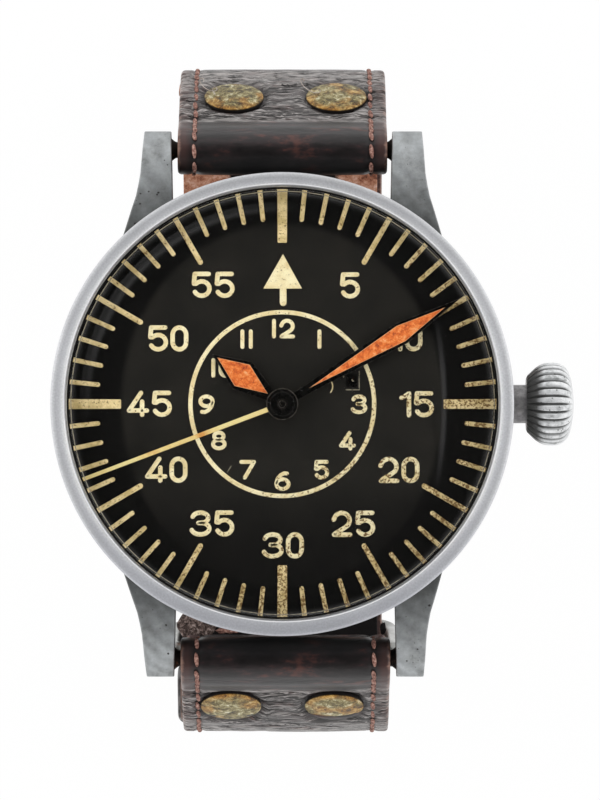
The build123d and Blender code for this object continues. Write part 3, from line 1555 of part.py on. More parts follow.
nodes = {
    "case_back": make_case_back(),
    "case_middle": make_case_middle(),
    "bezel": make_bezel(),
    "crystal": make_crystal(),
    "tension_ring": make_tension_ring(),
    "movement_ring": make_movement_ring(),
    "crown_tube": make_crown_tube(),
    "crown": make_crown(),
    "winding_stem": make_winding_stem(),
    "winding_pinion": make_winding_pinion(),
    "sliding_pinion": make_sliding_pinion(),
    "setting_lever": make_setting_lever(),
    "crown_wheel": make_crown_wheel(),
    "ratchet_wheel": make_ratchet_wheel(),
    "click": make_click(),
    "click_spring": make_click_spring(),
    "main_plate": make_main_plate(),
    "barrel_bridge": make_barrel_bridge(),
    "train_bridge": make_train_bridge(),
    "balance_cock": make_balance_cock(),
    "pallet_cock": make_pallet_cock(),
    "bridge_screws": make_bridge_screws(),
    "case_clamps": make_case_clamps(),
    "jewels": make_jewels(),
    "mainspring_barrel": make_barrel(),
    "barrel_cover": make_barrel_cover(),
    "barrel_arbor": make_barrel_arbor(),
    "mainspring": make_mainspring(),
    "centre_wheel": make_centre_wheel(),
    "third_wheel": make_third_wheel(),
    "fourth_wheel": make_fourth_wheel(),
    "escape_wheel": make_escape_wheel(),
    "pallet_fork": make_pallet_fork(),
    "pallet_stones": make_pallet_stones(),
    "balance_wheel": make_balance_wheel(),
    "hairspring": make_hairspring(),
    "regulator": make_regulator(),
    "cannon_pinion": make_cannon_pinion(),
    "minute_wheel": make_minute_wheel(),
    "hour_wheel": make_hour_wheel(),
    "dial": make_dial(),
    "dial_markings": make_dial_markings(),
    "hour_hand": make_hand(*hour_hand, hour_tube_diameter + 2 * hub_wall, cannon_diameter + 2 * running_gap,
                           hour_hand_bottom, hour_hand_angle),
    "hour_lume": make_lume(*hour_hand, hour_hand_bottom, hour_hand_angle),
    "minute_hand": make_hand(*minute_hand, cannon_diameter + 2 * hub_wall, fourth_arbor_diameter
                             + 2 * running_gap, minute_hand_bottom, minute_hand_angle),
    "minute_lume": make_lume(*minute_hand, minute_hand_bottom, minute_hand_angle),
    "seconds_hand": make_seconds_hand(),
    "strap_bar_12": make_strap_bar(1),
    "strap_bar_6": make_strap_bar(-1),
    "strap_12": make_strap_12(),
    "lining_12": make_lining_12(),
    "strap_6": make_strap_6(),
    "lining_6": make_lining_6(),
    "rivets_12": make_rivets(1),
    "rivets_6": make_rivets(-1),
    "keeper": make_keeper(),
    "buckle_bar": make_buckle_bar(),
    "buckle_frame": make_buckle_frame(),
    "buckle_tongue": make_buckle_tongue(),
}

os.makedirs("parts", exist_ok=True)
for name, shape in nodes.items():
    export_step(shape, f"parts/{name}.step")
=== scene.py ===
import math
import bpy
from mathutils import Matrix, Vector, noise


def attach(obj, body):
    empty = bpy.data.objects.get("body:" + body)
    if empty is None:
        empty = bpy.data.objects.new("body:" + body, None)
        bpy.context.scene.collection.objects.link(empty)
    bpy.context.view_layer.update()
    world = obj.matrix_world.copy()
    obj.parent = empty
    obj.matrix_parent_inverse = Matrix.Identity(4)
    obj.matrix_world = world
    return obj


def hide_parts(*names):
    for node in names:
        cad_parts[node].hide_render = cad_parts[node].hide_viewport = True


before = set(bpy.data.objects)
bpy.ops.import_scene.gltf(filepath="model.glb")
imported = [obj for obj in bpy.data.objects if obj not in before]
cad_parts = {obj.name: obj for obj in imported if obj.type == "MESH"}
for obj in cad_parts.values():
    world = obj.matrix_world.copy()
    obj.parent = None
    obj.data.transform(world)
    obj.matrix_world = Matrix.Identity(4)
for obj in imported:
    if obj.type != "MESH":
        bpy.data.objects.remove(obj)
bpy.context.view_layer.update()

# Large pilot watch on its buckled leather strap, seen straight from above.
# Every length below is in millimetres, as in the part's source, and MM turns it to metres.
MM = 0.001

# Heights and places that the part's source gives
HEAD_BASE = 40.07
MIDDLE_BOTTOM = 42.07
DIAL_BOTTOM = 49.47
DIAL_TOP = 49.92
MIDDLE_TOP = 50.77
BEZEL_TOP = 54.37
CRYSTAL_TOP = 56.87
STEM_HEIGHT = 45.87
BAR_REACH = 30.2
BAR_HEIGHT = 44.67
LEATHER = 1.6
LINING = 0.7
TAB = 15
FOLD_RADIUS = 1.78
PATH_GAP = 1.5
SLOPE = math.radians(58)
LOWER_CENTRE = (17.099, 25.55)
INNER_RADIUS, TAIL_RADIUS = 21.4, 24.4
HEEL = (31.685, 11.216)
FRONT_BAR = (28.637, 1.361)
HOUR_LOW, MINUTE_LOW, SECONDS_LOW = 50.47, 51.12, 51.83

# Where the hands stand, in degrees clockwise from twelve, and how the camera looks down at the bezel
HOUR_TURN, MINUTE_TURN, SECONDS_TURN = 305.6, 59.3, 249.3
CAMERA_DISTANCE = 625
CAMERA_AIM = (2.11, 0.483)

# Sizes measured in the photo; each rivet has its place across, its size's share and its extra tilt in degrees
OPENING_SHIFT = (0.05, 0.14)
TRACK_END = 25.32
STRAP_WIDTH = 25.15
RIVETS_12 = ((-5.94, 0.995, 3.0), (6.54, 1.02, 2.0))
RIVETS_6 = ((-6.27, 1.015, 4.5), (6.26, 0.99, 6.0))


# Modelling helpers


def clear():
    if bpy.context.object and bpy.context.object.mode != "OBJECT":
        bpy.ops.object.mode_set(mode="OBJECT")
    bpy.ops.object.select_all(action="DESELECT")


def take(obj):
    """Select only this piece and make it active."""
    clear()
    obj.select_set(True)
    bpy.context.view_layer.objects.active = obj


def start_at(name, point):
    """A new mesh that is one vertex at this point, in edit mode and ready to extrude."""
    clear()
    bpy.ops.mesh.primitive_plane_add(size=MM, location=(0, 0, 0))
    obj = bpy.context.object
    obj.name = obj.data.name = name
    bpy.ops.object.mode_set(mode="EDIT")
    bpy.ops.mesh.select_all(action="SELECT")
    bpy.ops.mesh.merge(type="CENTER")
    bpy.ops.transform.translate(value=[c * MM for c in point])
    return obj


def draw(points):
    """Extrude the start vertex from point to point."""
    for a, b in zip(points, points[1:]):
        bpy.ops.mesh.extrude_region_move(
            TRANSFORM_OT_translate={"value": [(q - p) * MM for p, q in zip(a, b)]})


def close_up():
    """Merge what touches and turn the faces outwards."""
    bpy.ops.mesh.select_all(action="SELECT")
    bpy.ops.mesh.remove_doubles(threshold=0.002 * MM)
    bpy.ops.mesh.normals_make_consistent(inside=False)
    bpy.ops.object.mode_set(mode="OBJECT")


def turned(name, profile, steps=192, axis="Z", centre=(0, 0, 0)):
    """Turned piece from (radius, place along the axis) points."""
    x, y, z = centre
    if axis == "Z":
        points = [(x + r, y, z + h) for r, h in profile]
    else:
        points = [(x + h, y, z + r) for r, h in profile]
    obj = start_at(name, points[0])
    draw(points)
    bpy.ops.mesh.select_all(action="SELECT")
    bpy.ops.mesh.spin(steps=steps, angle=2 * math.pi, center=[c * MM for c in centre],
                      axis=(0, 0, 1) if axis == "Z" else (1, 0, 0))
    close_up()
    return obj


def plate(name, outline, low, high, bevel=0.0, segments=2):
    """Flat piece: the outline is filled, extruded up and bevelled round its top edge."""
    obj = start_at(name, (*outline[0], low))
    draw([(x, y, low) for x, y in outline])
    bpy.ops.mesh.select_all(action="SELECT")
    bpy.ops.mesh.edge_face_add()
    bpy.ops.mesh.extrude_region_move(TRANSFORM_OT_translate={"value": (0, 0, (high - low) * MM)})
    if bevel:
        bpy.ops.mesh.bevel(offset=bevel * MM, segments=segments, affect="EDGES")
    close_up()
    return obj


def skin(name, rings, marks=None, values=None):
    """Closed skin over rings of points. marks gives each point's own UV place, and values its named attributes."""
    around, along = len(rings[0]), len(rings) - 1
    clear()
    bpy.ops.mesh.primitive_grid_add(x_subdivisions=around, y_subdivisions=along, size=1)
    obj = bpy.context.object
    obj.name = obj.data.name = name
    spots = [(round((v.co.x + 0.5) * around), round((v.co.y + 0.5) * along)) for v in obj.data.vertices]
    assert len(spots) == (around + 1) * (along + 1)
    for v, (i, j) in zip(obj.data.vertices, spots):
        v.co = [c * MM for c in rings[j][i % around]]
    if marks:
        layer = obj.data.uv_layers[0].data
        for loop in obj.data.loops:
            i, j = spots[loop.vertex_index]
            layer[loop.index].uv = marks(i, j)
    for kind, value in (values or {}).items():
        attribute = obj.data.attributes.new(kind, "FLOAT", "POINT")
        for number, (i, j) in enumerate(spots):
            attribute.data[number].value = value(i % around, j)
    bpy.ops.object.mode_set(mode="EDIT")
    bpy.ops.mesh.select_all(action="SELECT")
    bpy.ops.mesh.remove_doubles(threshold=0.002 * MM)
    bpy.ops.mesh.select_all(action="SELECT")
    bpy.ops.mesh.fill_holes(sides=0)
    close_up()
    return obj


def punched(obj, cutters):
    """Cut each cutter out of a piece, and remove the cutter."""
    for cutter in cutters:
        take(obj)
        modifier = obj.modifiers.new("Hole", "BOOLEAN")
        modifier.operation, modifier.solver, modifier.object = "DIFFERENCE", "EXACT", cutter
        bpy.ops.object.modifier_apply(modifier=modifier.name)
        bpy.data.objects.remove(cutter)


def meshed(name, curve):
    """A piece made of a curve's own round or flattened tube."""
    obj = bpy.data.objects.new(name, curve)
    bpy.context.scene.collection.objects.link(obj)
    take(obj)
    bpy.ops.object.convert(target="MESH")
    return obj


def joined(name, objs):
    """Join pieces into the first one."""
    clear()
    for obj in objs:
        obj.select_set(True)
    bpy.context.view_layer.objects.active = objs[0]
    if len(objs) > 1:
        bpy.ops.object.join()
    objs[0].name = objs[0].data.name = name
    return objs[0]


def copy_of(obj, matrix):
    """A copy with its own mesh, moved by the matrix in the mesh."""
    made = obj.copy()
    made.data = obj.data.copy()
    made.data.transform(matrix)
    bpy.context.scene.collection.objects.link(made)
    return made


def finish(obj, body, material, slot, *nodes, angle=35):
    """Smooth, material, body and the CAD nodes that the piece stands for."""
    take(obj)
    bpy.ops.object.shade_smooth_by_angle(angle=math.radians(angle))
    clear()
    obj.data.materials.clear()
    obj.data.materials.append(material)
    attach(obj, body)
    if nodes:
        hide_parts(*nodes)
    return obj


def polar(radius, angle):
    """The point at this radius and angle, in degrees."""
    return (radius * math.cos(math.radians(angle)), radius * math.sin(math.radians(angle)))


# Materials


def linear(hex_colour):
    """sRGB hex to the linear colour that the shaders take."""
    values = [int(hex_colour[i:i + 2], 16) / 255 for i in (1, 3, 5)]
    return (*[v / 12.92 if v <= 0.04045 else ((v + 0.055) / 1.055) ** 2.4 for v in values], 1)


def node(mat, kind, inputs=None, stops=None, **settings):
    """Add a node, with its settings, its ramp's stops, and its inputs: values, sockets or nodes (first output)."""
    made = mat.node_tree.nodes.new(kind)
    for key, value in settings.items():
        setattr(made, key, value)
    if stops:
        made.color_ramp.elements.remove(made.color_ramp.elements[1])
        for number, (place, colour) in enumerate(stops):
            stop = made.color_ramp.elements[0] if number == 0 else made.color_ramp.elements.new(place)
            stop.position, stop.color = place, linear(colour)
    for key, value in (inputs or {}).items():
        value = value.outputs[0] if isinstance(value, bpy.types.Node) else value
        if isinstance(value, bpy.types.NodeSocket):
            mat.node_tree.links.new(value, made.inputs[key])
        else:
            made.inputs[key].default_value = value
    return made


def material(name):
    """A new material without nodes."""
    mat = bpy.data.materials.new(name)
    mat.use_nodes = True
    mat.node_tree.nodes.clear()
    return mat


def patterned(name):
    """A material, and the place on its piece that the patterns are drawn by."""
    mat = material(name)
    return mat, node(mat, "ShaderNodeTexCoord").outputs["Object"]


def from_axis(mat, place, squeeze=(1, 1, 0)):
    """Distance from the hands' axis, as an oval where the squeeze isn't even."""
    flat = node(mat, "ShaderNodeVectorMath", {0: place, 1: squeeze}, operation="MULTIPLY")
    return node(mat, "ShaderNodeVectorMath", {0: flat}, operation="LENGTH").outputs["Value"]


def faces_up(mat):
    """How far the surface faces up out of the dial."""
    normal = node(mat, "ShaderNodeNewGeometry").outputs["Normal"]
    return node(mat, "ShaderNodeSeparateXYZ", {"Vector": normal}).outputs["Z"]


def shade(mat, **sockets):
    """The surface's own shader, with its sockets named in plain words."""
    names = {"colour": "Base Color", "metal": "Metallic", "rough": "Roughness", "bump": "Normal",
             "ior": "IOR", "specular": "Specular IOR Level"}
    shader = node(mat, "ShaderNodeBsdfPrincipled", {names[key]: value for key, value in sockets.items()})
    node(mat, "ShaderNodeOutputMaterial", {"Surface": shader})
    return mat


def make_satin_steel():
    """Matt-blasted grey bezel: fine grain, a painted highlight brightest at its opening and duller outside, and
    painted light and shade round it.
    """
    mat, place = patterned("blasted_satin_steel")
    grit = node(mat, "ShaderNodeTexNoise", {"Vector": place, "Scale": 1000 / 0.22})
    cloud = node(mat, "ShaderNodeTexNoise", {"Vector": place, "Scale": 1000 / 6.0, "Detail": 5.0})
    radius = from_axis(mat, place)
    across = node(mat, "ShaderNodeMapRange", {"Value": radius, "From Min": 25.9 * MM, "From Max": 27.1 * MM})
    # Painted highlight: white just outside the opening, greying across the band, a little lighter again at the rolled
    # rim
    band = node(mat, "ShaderNodeValToRGB", {"Fac": across},
                stops=[(0.1, "#FFFFFF"), (0.22, "#F5F6F8"), (0.32, "#E8E9EC"), (0.42, "#DDDEE2"), (0.6, "#D5D6DA"),
                       (0.81, "#CECFD3"), (1.0, "#DCDDE0")])
    split = node(mat, "ShaderNodeSeparateXYZ", {"Vector": place})
    x, y = split.outputs["X"], split.outputs["Y"]
    high = node(mat, "ShaderNodeMath", {0: y}, operation="ABSOLUTE")
    low = node(mat, "ShaderNodeMapRange", {"Value": y, "From Min": -11 * MM, "From Max": -23 * MM, "To Max": 0.75})
    tone = node(mat, "ShaderNodeMixRGB", {"Fac": low, "Color1": band, "Color2": linear("#D2D4DC")})
    # Haze and blasted grain, then painted light and shade: duller ends, brighter at twelve than at six, and a
    # brighter left and right where the lamps stand
    for value, start, end, first, last in ((cloud, 0.3, 0.7, 0.93, 1.03), (grit, 0.3, 0.7, 0.9, 1.08),
                                           (high, 8 * MM, 26 * MM, 0.92, 0.78), (y, -27 * MM, 27 * MM, 0.95, 1.06),
                                           (x, -27 * MM, -12 * MM, 1.06, 1.0), (x, 12 * MM, 27 * MM, 1.0, 1.08)):
        share = node(mat, "ShaderNodeMapRange", {"Value": value, "From Min": start, "From Max": end,
                                                 "To Min": first, "To Max": last})
        tone = node(mat, "ShaderNodeMixRGB", {"Fac": 1.0, "Color1": tone, "Color2": share}, blend_type="MULTIPLY")
    bump = node(mat, "ShaderNodeBump", {"Height": grit, "Strength": 0.35, "Distance": 0.02 * MM})
    return shade(mat, colour=tone, metal=0.3, rough=0.34, bump=bump)


def make_pitted_steel():
    """Grey case steel, worn dull: swirled tool marks, fine pits, and painted shade that darkens it towards the bezel.
    """
    mat, place = patterned("worn_pitted_case_steel")
    grit = node(mat, "ShaderNodeTexNoise", {"Vector": place, "Scale": 1000 / 0.35, "Detail": 5.0, "Roughness": 0.7})
    swirl = node(mat, "ShaderNodeTexWave", {"Vector": place, "Scale": 1000 / 4.5, "Distortion": 5.0, "Detail": 3.0,
                                            "Detail Scale": 1.2}, wave_type="BANDS", bands_direction="DIAGONAL")
    pits = node(mat, "ShaderNodeTexVoronoi", {"Vector": place, "Scale": 1000 / 0.9})
    rare = node(mat, "ShaderNodeTexNoise", {"Vector": place, "Scale": 1000 / 1.3, "Detail": 1.0})
    deep = node(mat, "ShaderNodeMapRange", {"Value": rare, "From Min": 0.56, "From Max": 0.72, "To Max": -0.2})
    depth = node(mat, "ShaderNodeMath", {0: pits, 1: deep})
    hollow = node(mat, "ShaderNodeValToRGB", {"Fac": depth}, stops=[(0.02, "#000000"), (0.09, "#FFFFFF")])
    blotch = node(mat, "ShaderNodeTexNoise", {"Vector": place, "Scale": 1000 / 2.2, "Detail": 7.0, "Roughness": 0.72})
    metal = node(mat, "ShaderNodeValToRGB", {"Fac": blotch}, stops=[(0.3, "#868988"), (0.44, "#A6A9AA"),
                                                                   (0.58, "#B6BABC"), (0.7, "#C6CACD")])
    ripple = node(mat, "ShaderNodeMapRange", {"Value": swirl.outputs["Fac"], "To Min": 0.84, "To Max": 1.04})
    split = node(mat, "ShaderNodeSeparateXYZ", {"Vector": place})
    # Painted shade: the lugs darken towards the bezel
    reach = node(mat, "ShaderNodeMath", {0: split.outputs["Y"]}, operation="ABSOLUTE")
    near = node(mat, "ShaderNodeMapRange", {"Value": reach, "From Min": 19 * MM, "From Max": 30 * MM})
    shadow = node(mat, "ShaderNodeMixRGB", {"Fac": near, "Color1": linear("#7C7C78"), "Color2": linear("#FFFFFF")})
    tint = node(mat, "ShaderNodeMixRGB", {"Fac": 1.0, "Color1": metal, "Color2": shadow}, blend_type="MULTIPLY")
    worn = node(mat, "ShaderNodeMixRGB", {"Fac": 1.0, "Color1": tint, "Color2": ripple}, blend_type="MULTIPLY")
    pitted = node(mat, "ShaderNodeMixRGB", {"Fac": hollow, "Color1": linear("#3C3A38"), "Color2": worn})
    heights = node(mat, "ShaderNodeMath", {0: grit, 1: hollow})
    bump = node(mat, "ShaderNodeBump", {"Height": heights, "Strength": 0.5, "Distance": 0.06 * MM})
    return shade(mat, colour=pitted, metal=0.4, rough=0.45, bump=bump)


def make_acrylic():
    """Clear domed acrylic; light reaches the dial through it without a dark shadow."""
    mat, place = patterned("clear_acrylic")
    haze = node(mat, "ShaderNodeTexNoise", {"Vector": place, "Scale": 1000 / 4.0, "Detail": 3.0})
    rough = node(mat, "ShaderNodeMapRange", {"Value": haze, "To Max": 0.03})
    glass = node(mat, "ShaderNodeBsdfPrincipled", {"Base Color": linear("#FFFFFF"), "Roughness": rough, "IOR": 1.49,
                                                   "Transmission Weight": 1.0})
    through = node(mat, "ShaderNodeBsdfTransparent")
    path = node(mat, "ShaderNodeLightPath")
    passing = node(mat, "ShaderNodeMath", {0: path.outputs["Is Shadow Ray"], 1: path.outputs["Is Diffuse Ray"]},
                   operation="MAXIMUM")
    both = node(mat, "ShaderNodeMixShader", {"Fac": passing, 1: glass, 2: through})
    node(mat, "ShaderNodeOutputMaterial", {"Surface": both})
    return mat


def make_dial_lacquer():
    """Matt black dial lacquer with faint dust: a painted reflection makes it warm grey in the middle and deep black
    in an oval at the rim; darker towards six.
    """
    mat, place = patterned("matt_black_dial_lacquer")
    cloud = node(mat, "ShaderNodeTexNoise", {"Vector": place, "Scale": 1000 / 5.0, "Detail": 5.0})
    tone = node(mat, "ShaderNodeValToRGB", {"Fac": cloud}, stops=[(0.35, "#1D1C19"), (0.7, "#25231F")])
    # Painted reflection: the crystal's flat middle lightens the dial and its steep rim leaves an oval of deep black
    radius = from_axis(mat, place, (1.12, 1, 0))
    rim = node(mat, "ShaderNodeMapRange", {"Value": radius, "From Min": 21.0 * MM, "From Max": 21.8 * MM})
    split = node(mat, "ShaderNodeSeparateXYZ", {"Vector": place})
    foot = node(mat, "ShaderNodeMapRange", {"Value": split.outputs["Y"], "From Min": -9 * MM, "From Max": -16 * MM,
                                            "To Max": 0.8})
    deep = node(mat, "ShaderNodeMath", {0: rim, 1: foot}, operation="MAXIMUM")
    base = node(mat, "ShaderNodeMixRGB", {"Fac": deep, "Color1": tone, "Color2": linear("#0C0B0A")})
    dust = node(mat, "ShaderNodeTexVoronoi", {"Vector": place, "Scale": 1000 / 1.1})
    specks = node(mat, "ShaderNodeValToRGB", {"Fac": dust}, stops=[(0.0, "#FFFFFF"), (0.045, "#000000")])
    rare = node(mat, "ShaderNodeTexNoise", {"Vector": place, "Scale": 1000 / 2.3, "Detail": 0.0})
    gate = node(mat, "ShaderNodeValToRGB", {"Fac": rare}, stops=[(0.55, "#000000"), (0.62, "#FFFFFF")])
    shown = node(mat, "ShaderNodeMath", {0: specks, 1: gate}, operation="MULTIPLY")
    dusty = node(mat, "ShaderNodeMixRGB", {"Fac": shown, "Color1": base, "Color2": linear("#5E5B55")})
    grain = node(mat, "ShaderNodeTexNoise", {"Vector": place, "Scale": 1000 / 0.15})
    bump = node(mat, "ShaderNodeBump", {"Height": grain, "Strength": 0.15, "Distance": 0.01 * MM})
    return shade(mat, colour=dusty, rough=0.5, bump=bump, specular=0.15)


def make_aged_paint(name, pale, dull, speck, share, rusty):
    """Thick aged cream paint: grainy, with brown specks that grow denser to lower right, painted shade on its sides,
    painted light brighter to upper left and duller to lower right, rusty at the dial's rim.
    """
    mat, place = patterned(name)
    cloud = node(mat, "ShaderNodeTexNoise", {"Vector": place, "Scale": 1000 / 1.4, "Detail": 5.0, "Roughness": 0.6})
    base = node(mat, "ShaderNodeValToRGB", {"Fac": cloud}, stops=[(0.36, dull), (0.6, pale)])
    fine = node(mat, "ShaderNodeTexNoise", {"Vector": place, "Scale": 1000 / 0.3, "Detail": 3.0, "Roughness": 0.7})
    across = node(mat, "ShaderNodeVectorMath", {0: place, 1: (-0.78, 0.62, 0)}, operation="DOT_PRODUCT")
    thin = node(mat, "ShaderNodeMapRange", {"Value": across.outputs["Value"], "From Min": 2 * MM,
                                            "From Max": -12 * MM, "To Max": -0.085})
    left_on = node(mat, "ShaderNodeMath", {0: fine, 1: thin})
    spots = node(mat, "ShaderNodeValToRGB", {"Fac": left_on}, stops=[(share - 0.06, "#FFFFFF"), (share, "#000000")])
    aged = node(mat, "ShaderNodeMixRGB", {"Fac": spots, "Color1": base, "Color2": linear(speck)})
    # Painted shade: sides that don't face up turn to the speck colour
    side = node(mat, "ShaderNodeMapRange", {"Value": faces_up(mat), "From Min": 0.8, "From Max": 0.35,
                                            "To Max": 0.75})
    aged = node(mat, "ShaderNodeMixRGB", {"Fac": side, "Color1": aged, "Color2": linear(speck)})
    # Painted light: brighter to upper left, duller to lower right
    fade = node(mat, "ShaderNodeMapRange", {"Value": across.outputs["Value"], "From Min": -12 * MM,
                                            "From Max": 8 * MM, "To Min": 0.87, "To Max": 1.04})
    aged = node(mat, "ShaderNodeMixRGB", {"Fac": 1.0, "Color1": aged, "Color2": fade}, blend_type="MULTIPLY")
    radius = from_axis(mat, place)
    rim = node(mat, "ShaderNodeMapRange", {"Value": radius, "From Min": 24.5 * MM, "From Max": 25.1 * MM,
                                           "To Max": rusty})
    whole = node(mat, "ShaderNodeMixRGB", {"Fac": rim, "Color1": aged, "Color2": linear("#EFC083")})
    bump = node(mat, "ShaderNodeBump", {"Height": fine, "Strength": 0.4, "Distance": 0.03 * MM})
    return shade(mat, colour=whole, rough=0.75, bump=bump, specular=0.25)


def make_orange_lume():
    """Aged lume in the hands: granular burnt orange, pale crumbs, red-brown hollows and a paler rim painted as the
    highlight of its rounded edge.
    """
    mat, place = patterned("aged_orange_lume")
    cloud = node(mat, "ShaderNodeTexNoise", {"Vector": place, "Scale": 1000 / 0.9, "Detail": 6.0, "Roughness": 0.78})
    base = node(mat, "ShaderNodeValToRGB", {"Fac": cloud},
                stops=[(0.35, "#8A3212"), (0.43, "#CE5A1E"), (0.51, "#EA752A"), (0.59, "#F6944C"), (0.69, "#FFC691")])
    crumbs = node(mat, "ShaderNodeTexVoronoi", {"Vector": place, "Scale": 1000 / 0.3})
    bright = node(mat, "ShaderNodeValToRGB", {"Fac": crumbs}, stops=[(0.05, "#FFFFFF"), (0.35, "#000000")])
    gate = node(mat, "ShaderNodeMath", {0: bright, 1: cloud}, operation="MULTIPLY")
    lume = node(mat, "ShaderNodeMixRGB", {"Fac": gate, "Color1": base, "Color2": linear("#FFA765")})
    # Painted highlight: paler where the field's edge rounds down
    rim = node(mat, "ShaderNodeMapRange", {"Value": faces_up(mat), "From Min": 0.97, "From Max": 0.7})
    edged = node(mat, "ShaderNodeMixRGB", {"Fac": rim, "Color1": lume, "Color2": linear("#FFC08A")})
    bump = node(mat, "ShaderNodeBump", {"Height": crumbs, "Strength": 0.5, "Distance": 0.05 * MM})
    return shade(mat, colour=edged, rough=0.7, bump=bump)


def make_black_enamel():
    """Glossy black enamel on the hand frames; their edges turn grey, partly painted highlight and partly rubbed
    through to metal.
    """
    mat, place = patterned("black_hand_enamel")
    wear = node(mat, "ShaderNodeTexNoise", {"Vector": place, "Scale": 1000 / 0.8, "Detail": 4.0})
    rough = node(mat, "ShaderNodeMapRange", {"Value": wear, "To Min": 0.15, "To Max": 0.4})
    tone = node(mat, "ShaderNodeValToRGB", {"Fac": wear}, stops=[(0.4, "#020202"), (0.75, "#080706")])
    # Painted highlight on the bevelled edges, broken up by the wear noise
    side = node(mat, "ShaderNodeMapRange", {"Value": faces_up(mat), "From Min": 0.9, "From Max": 0.6})
    wear_and_glint = node(mat, "ShaderNodeMath", {0: side, 1: wear}, operation="MULTIPLY")
    rubbed = node(mat, "ShaderNodeMixRGB", {"Fac": wear_and_glint, "Color1": tone, "Color2": linear("#5E5953")})
    return shade(mat, colour=rubbed, rough=rough, specular=0.3)


def make_stained_cream():
    """Cream paint on the seconds hand, with orange rust stains in stretches along it."""
    mat, place = patterned("rust_stained_cream_paint")
    stretch = node(mat, "ShaderNodeTexNoise", {"Vector": place, "Scale": 1000 / 3.2, "Detail": 3.0})
    tone = node(mat, "ShaderNodeValToRGB", {"Fac": stretch}, stops=[(0.4, "#F1DF9A"), (0.55, "#EDCF85"),
                                                                    (0.66, "#DB9A4C")])
    return shade(mat, colour=tone, rough=0.55)


def make_crown_steel():
    """Worn nickel-plated crown: pale ribs, darker in the grooves and on the tapered back, dark pits."""
    mat, place = patterned("worn_crown_steel")
    depth = node(mat, "ShaderNodeAttribute", attribute_name="groove").outputs["Fac"]
    cloud = node(mat, "ShaderNodeTexNoise", {"Vector": place, "Scale": 1000 / 1.0, "Detail": 6.0, "Roughness": 0.65})
    metal = node(mat, "ShaderNodeValToRGB", {"Fac": cloud}, stops=[(0.32, "#A9ABAB"), (0.46, "#DDDFE0"),
                                                                   (0.62, "#F6F7F8")])
    pits = node(mat, "ShaderNodeTexVoronoi", {"Vector": place, "Scale": 1000 / 0.8})
    dark = node(mat, "ShaderNodeValToRGB", {"Fac": pits}, stops=[(0.07, "#3A3836"), (0.15, "#FFFFFF")])
    pitted = node(mat, "ShaderNodeMixRGB", {"Fac": 0.85, "Color1": metal, "Color2": dark}, blend_type="MULTIPLY")
    edge = node(mat, "ShaderNodeMath", {0: cloud, 1: -0.35})
    dark_share = node(mat, "ShaderNodeMath", {0: edge, 1: depth})
    share = node(mat, "ShaderNodeMapRange", {"Value": dark_share, "From Min": 0.28, "From Max": 0.85, "To Max": 0.9})
    dirt = node(mat, "ShaderNodeMixRGB", {"Fac": share, "Color1": pitted, "Color2": linear("#3E3D3A")})
    bump = node(mat, "ShaderNodeBump", {"Height": cloud, "Strength": 0.35, "Distance": 0.06 * MM})
    return shade(mat, colour=dirt, metal=0.35, rough=0.3, bump=bump)


def make_dark_steel(name, dark, mid, rust_from):
    """Oxidised steel of the strap bars and the crown's tube, with rust freckles."""
    mat, place = patterned(name)
    rust = node(mat, "ShaderNodeTexNoise", {"Vector": place, "Scale": 1000 / 0.9, "Detail": 5.0, "Roughness": 0.7})
    tone = node(mat, "ShaderNodeValToRGB", {"Fac": rust}, stops=[(0.38, dark), (rust_from - 0.06, mid),
                                                                 (rust_from + 0.05, "#6E4632")])
    bump = node(mat, "ShaderNodeBump", {"Height": rust, "Strength": 0.4, "Distance": 0.05 * MM})
    return shade(mat, colour=tone, metal=0.4, rough=0.45, bump=bump)


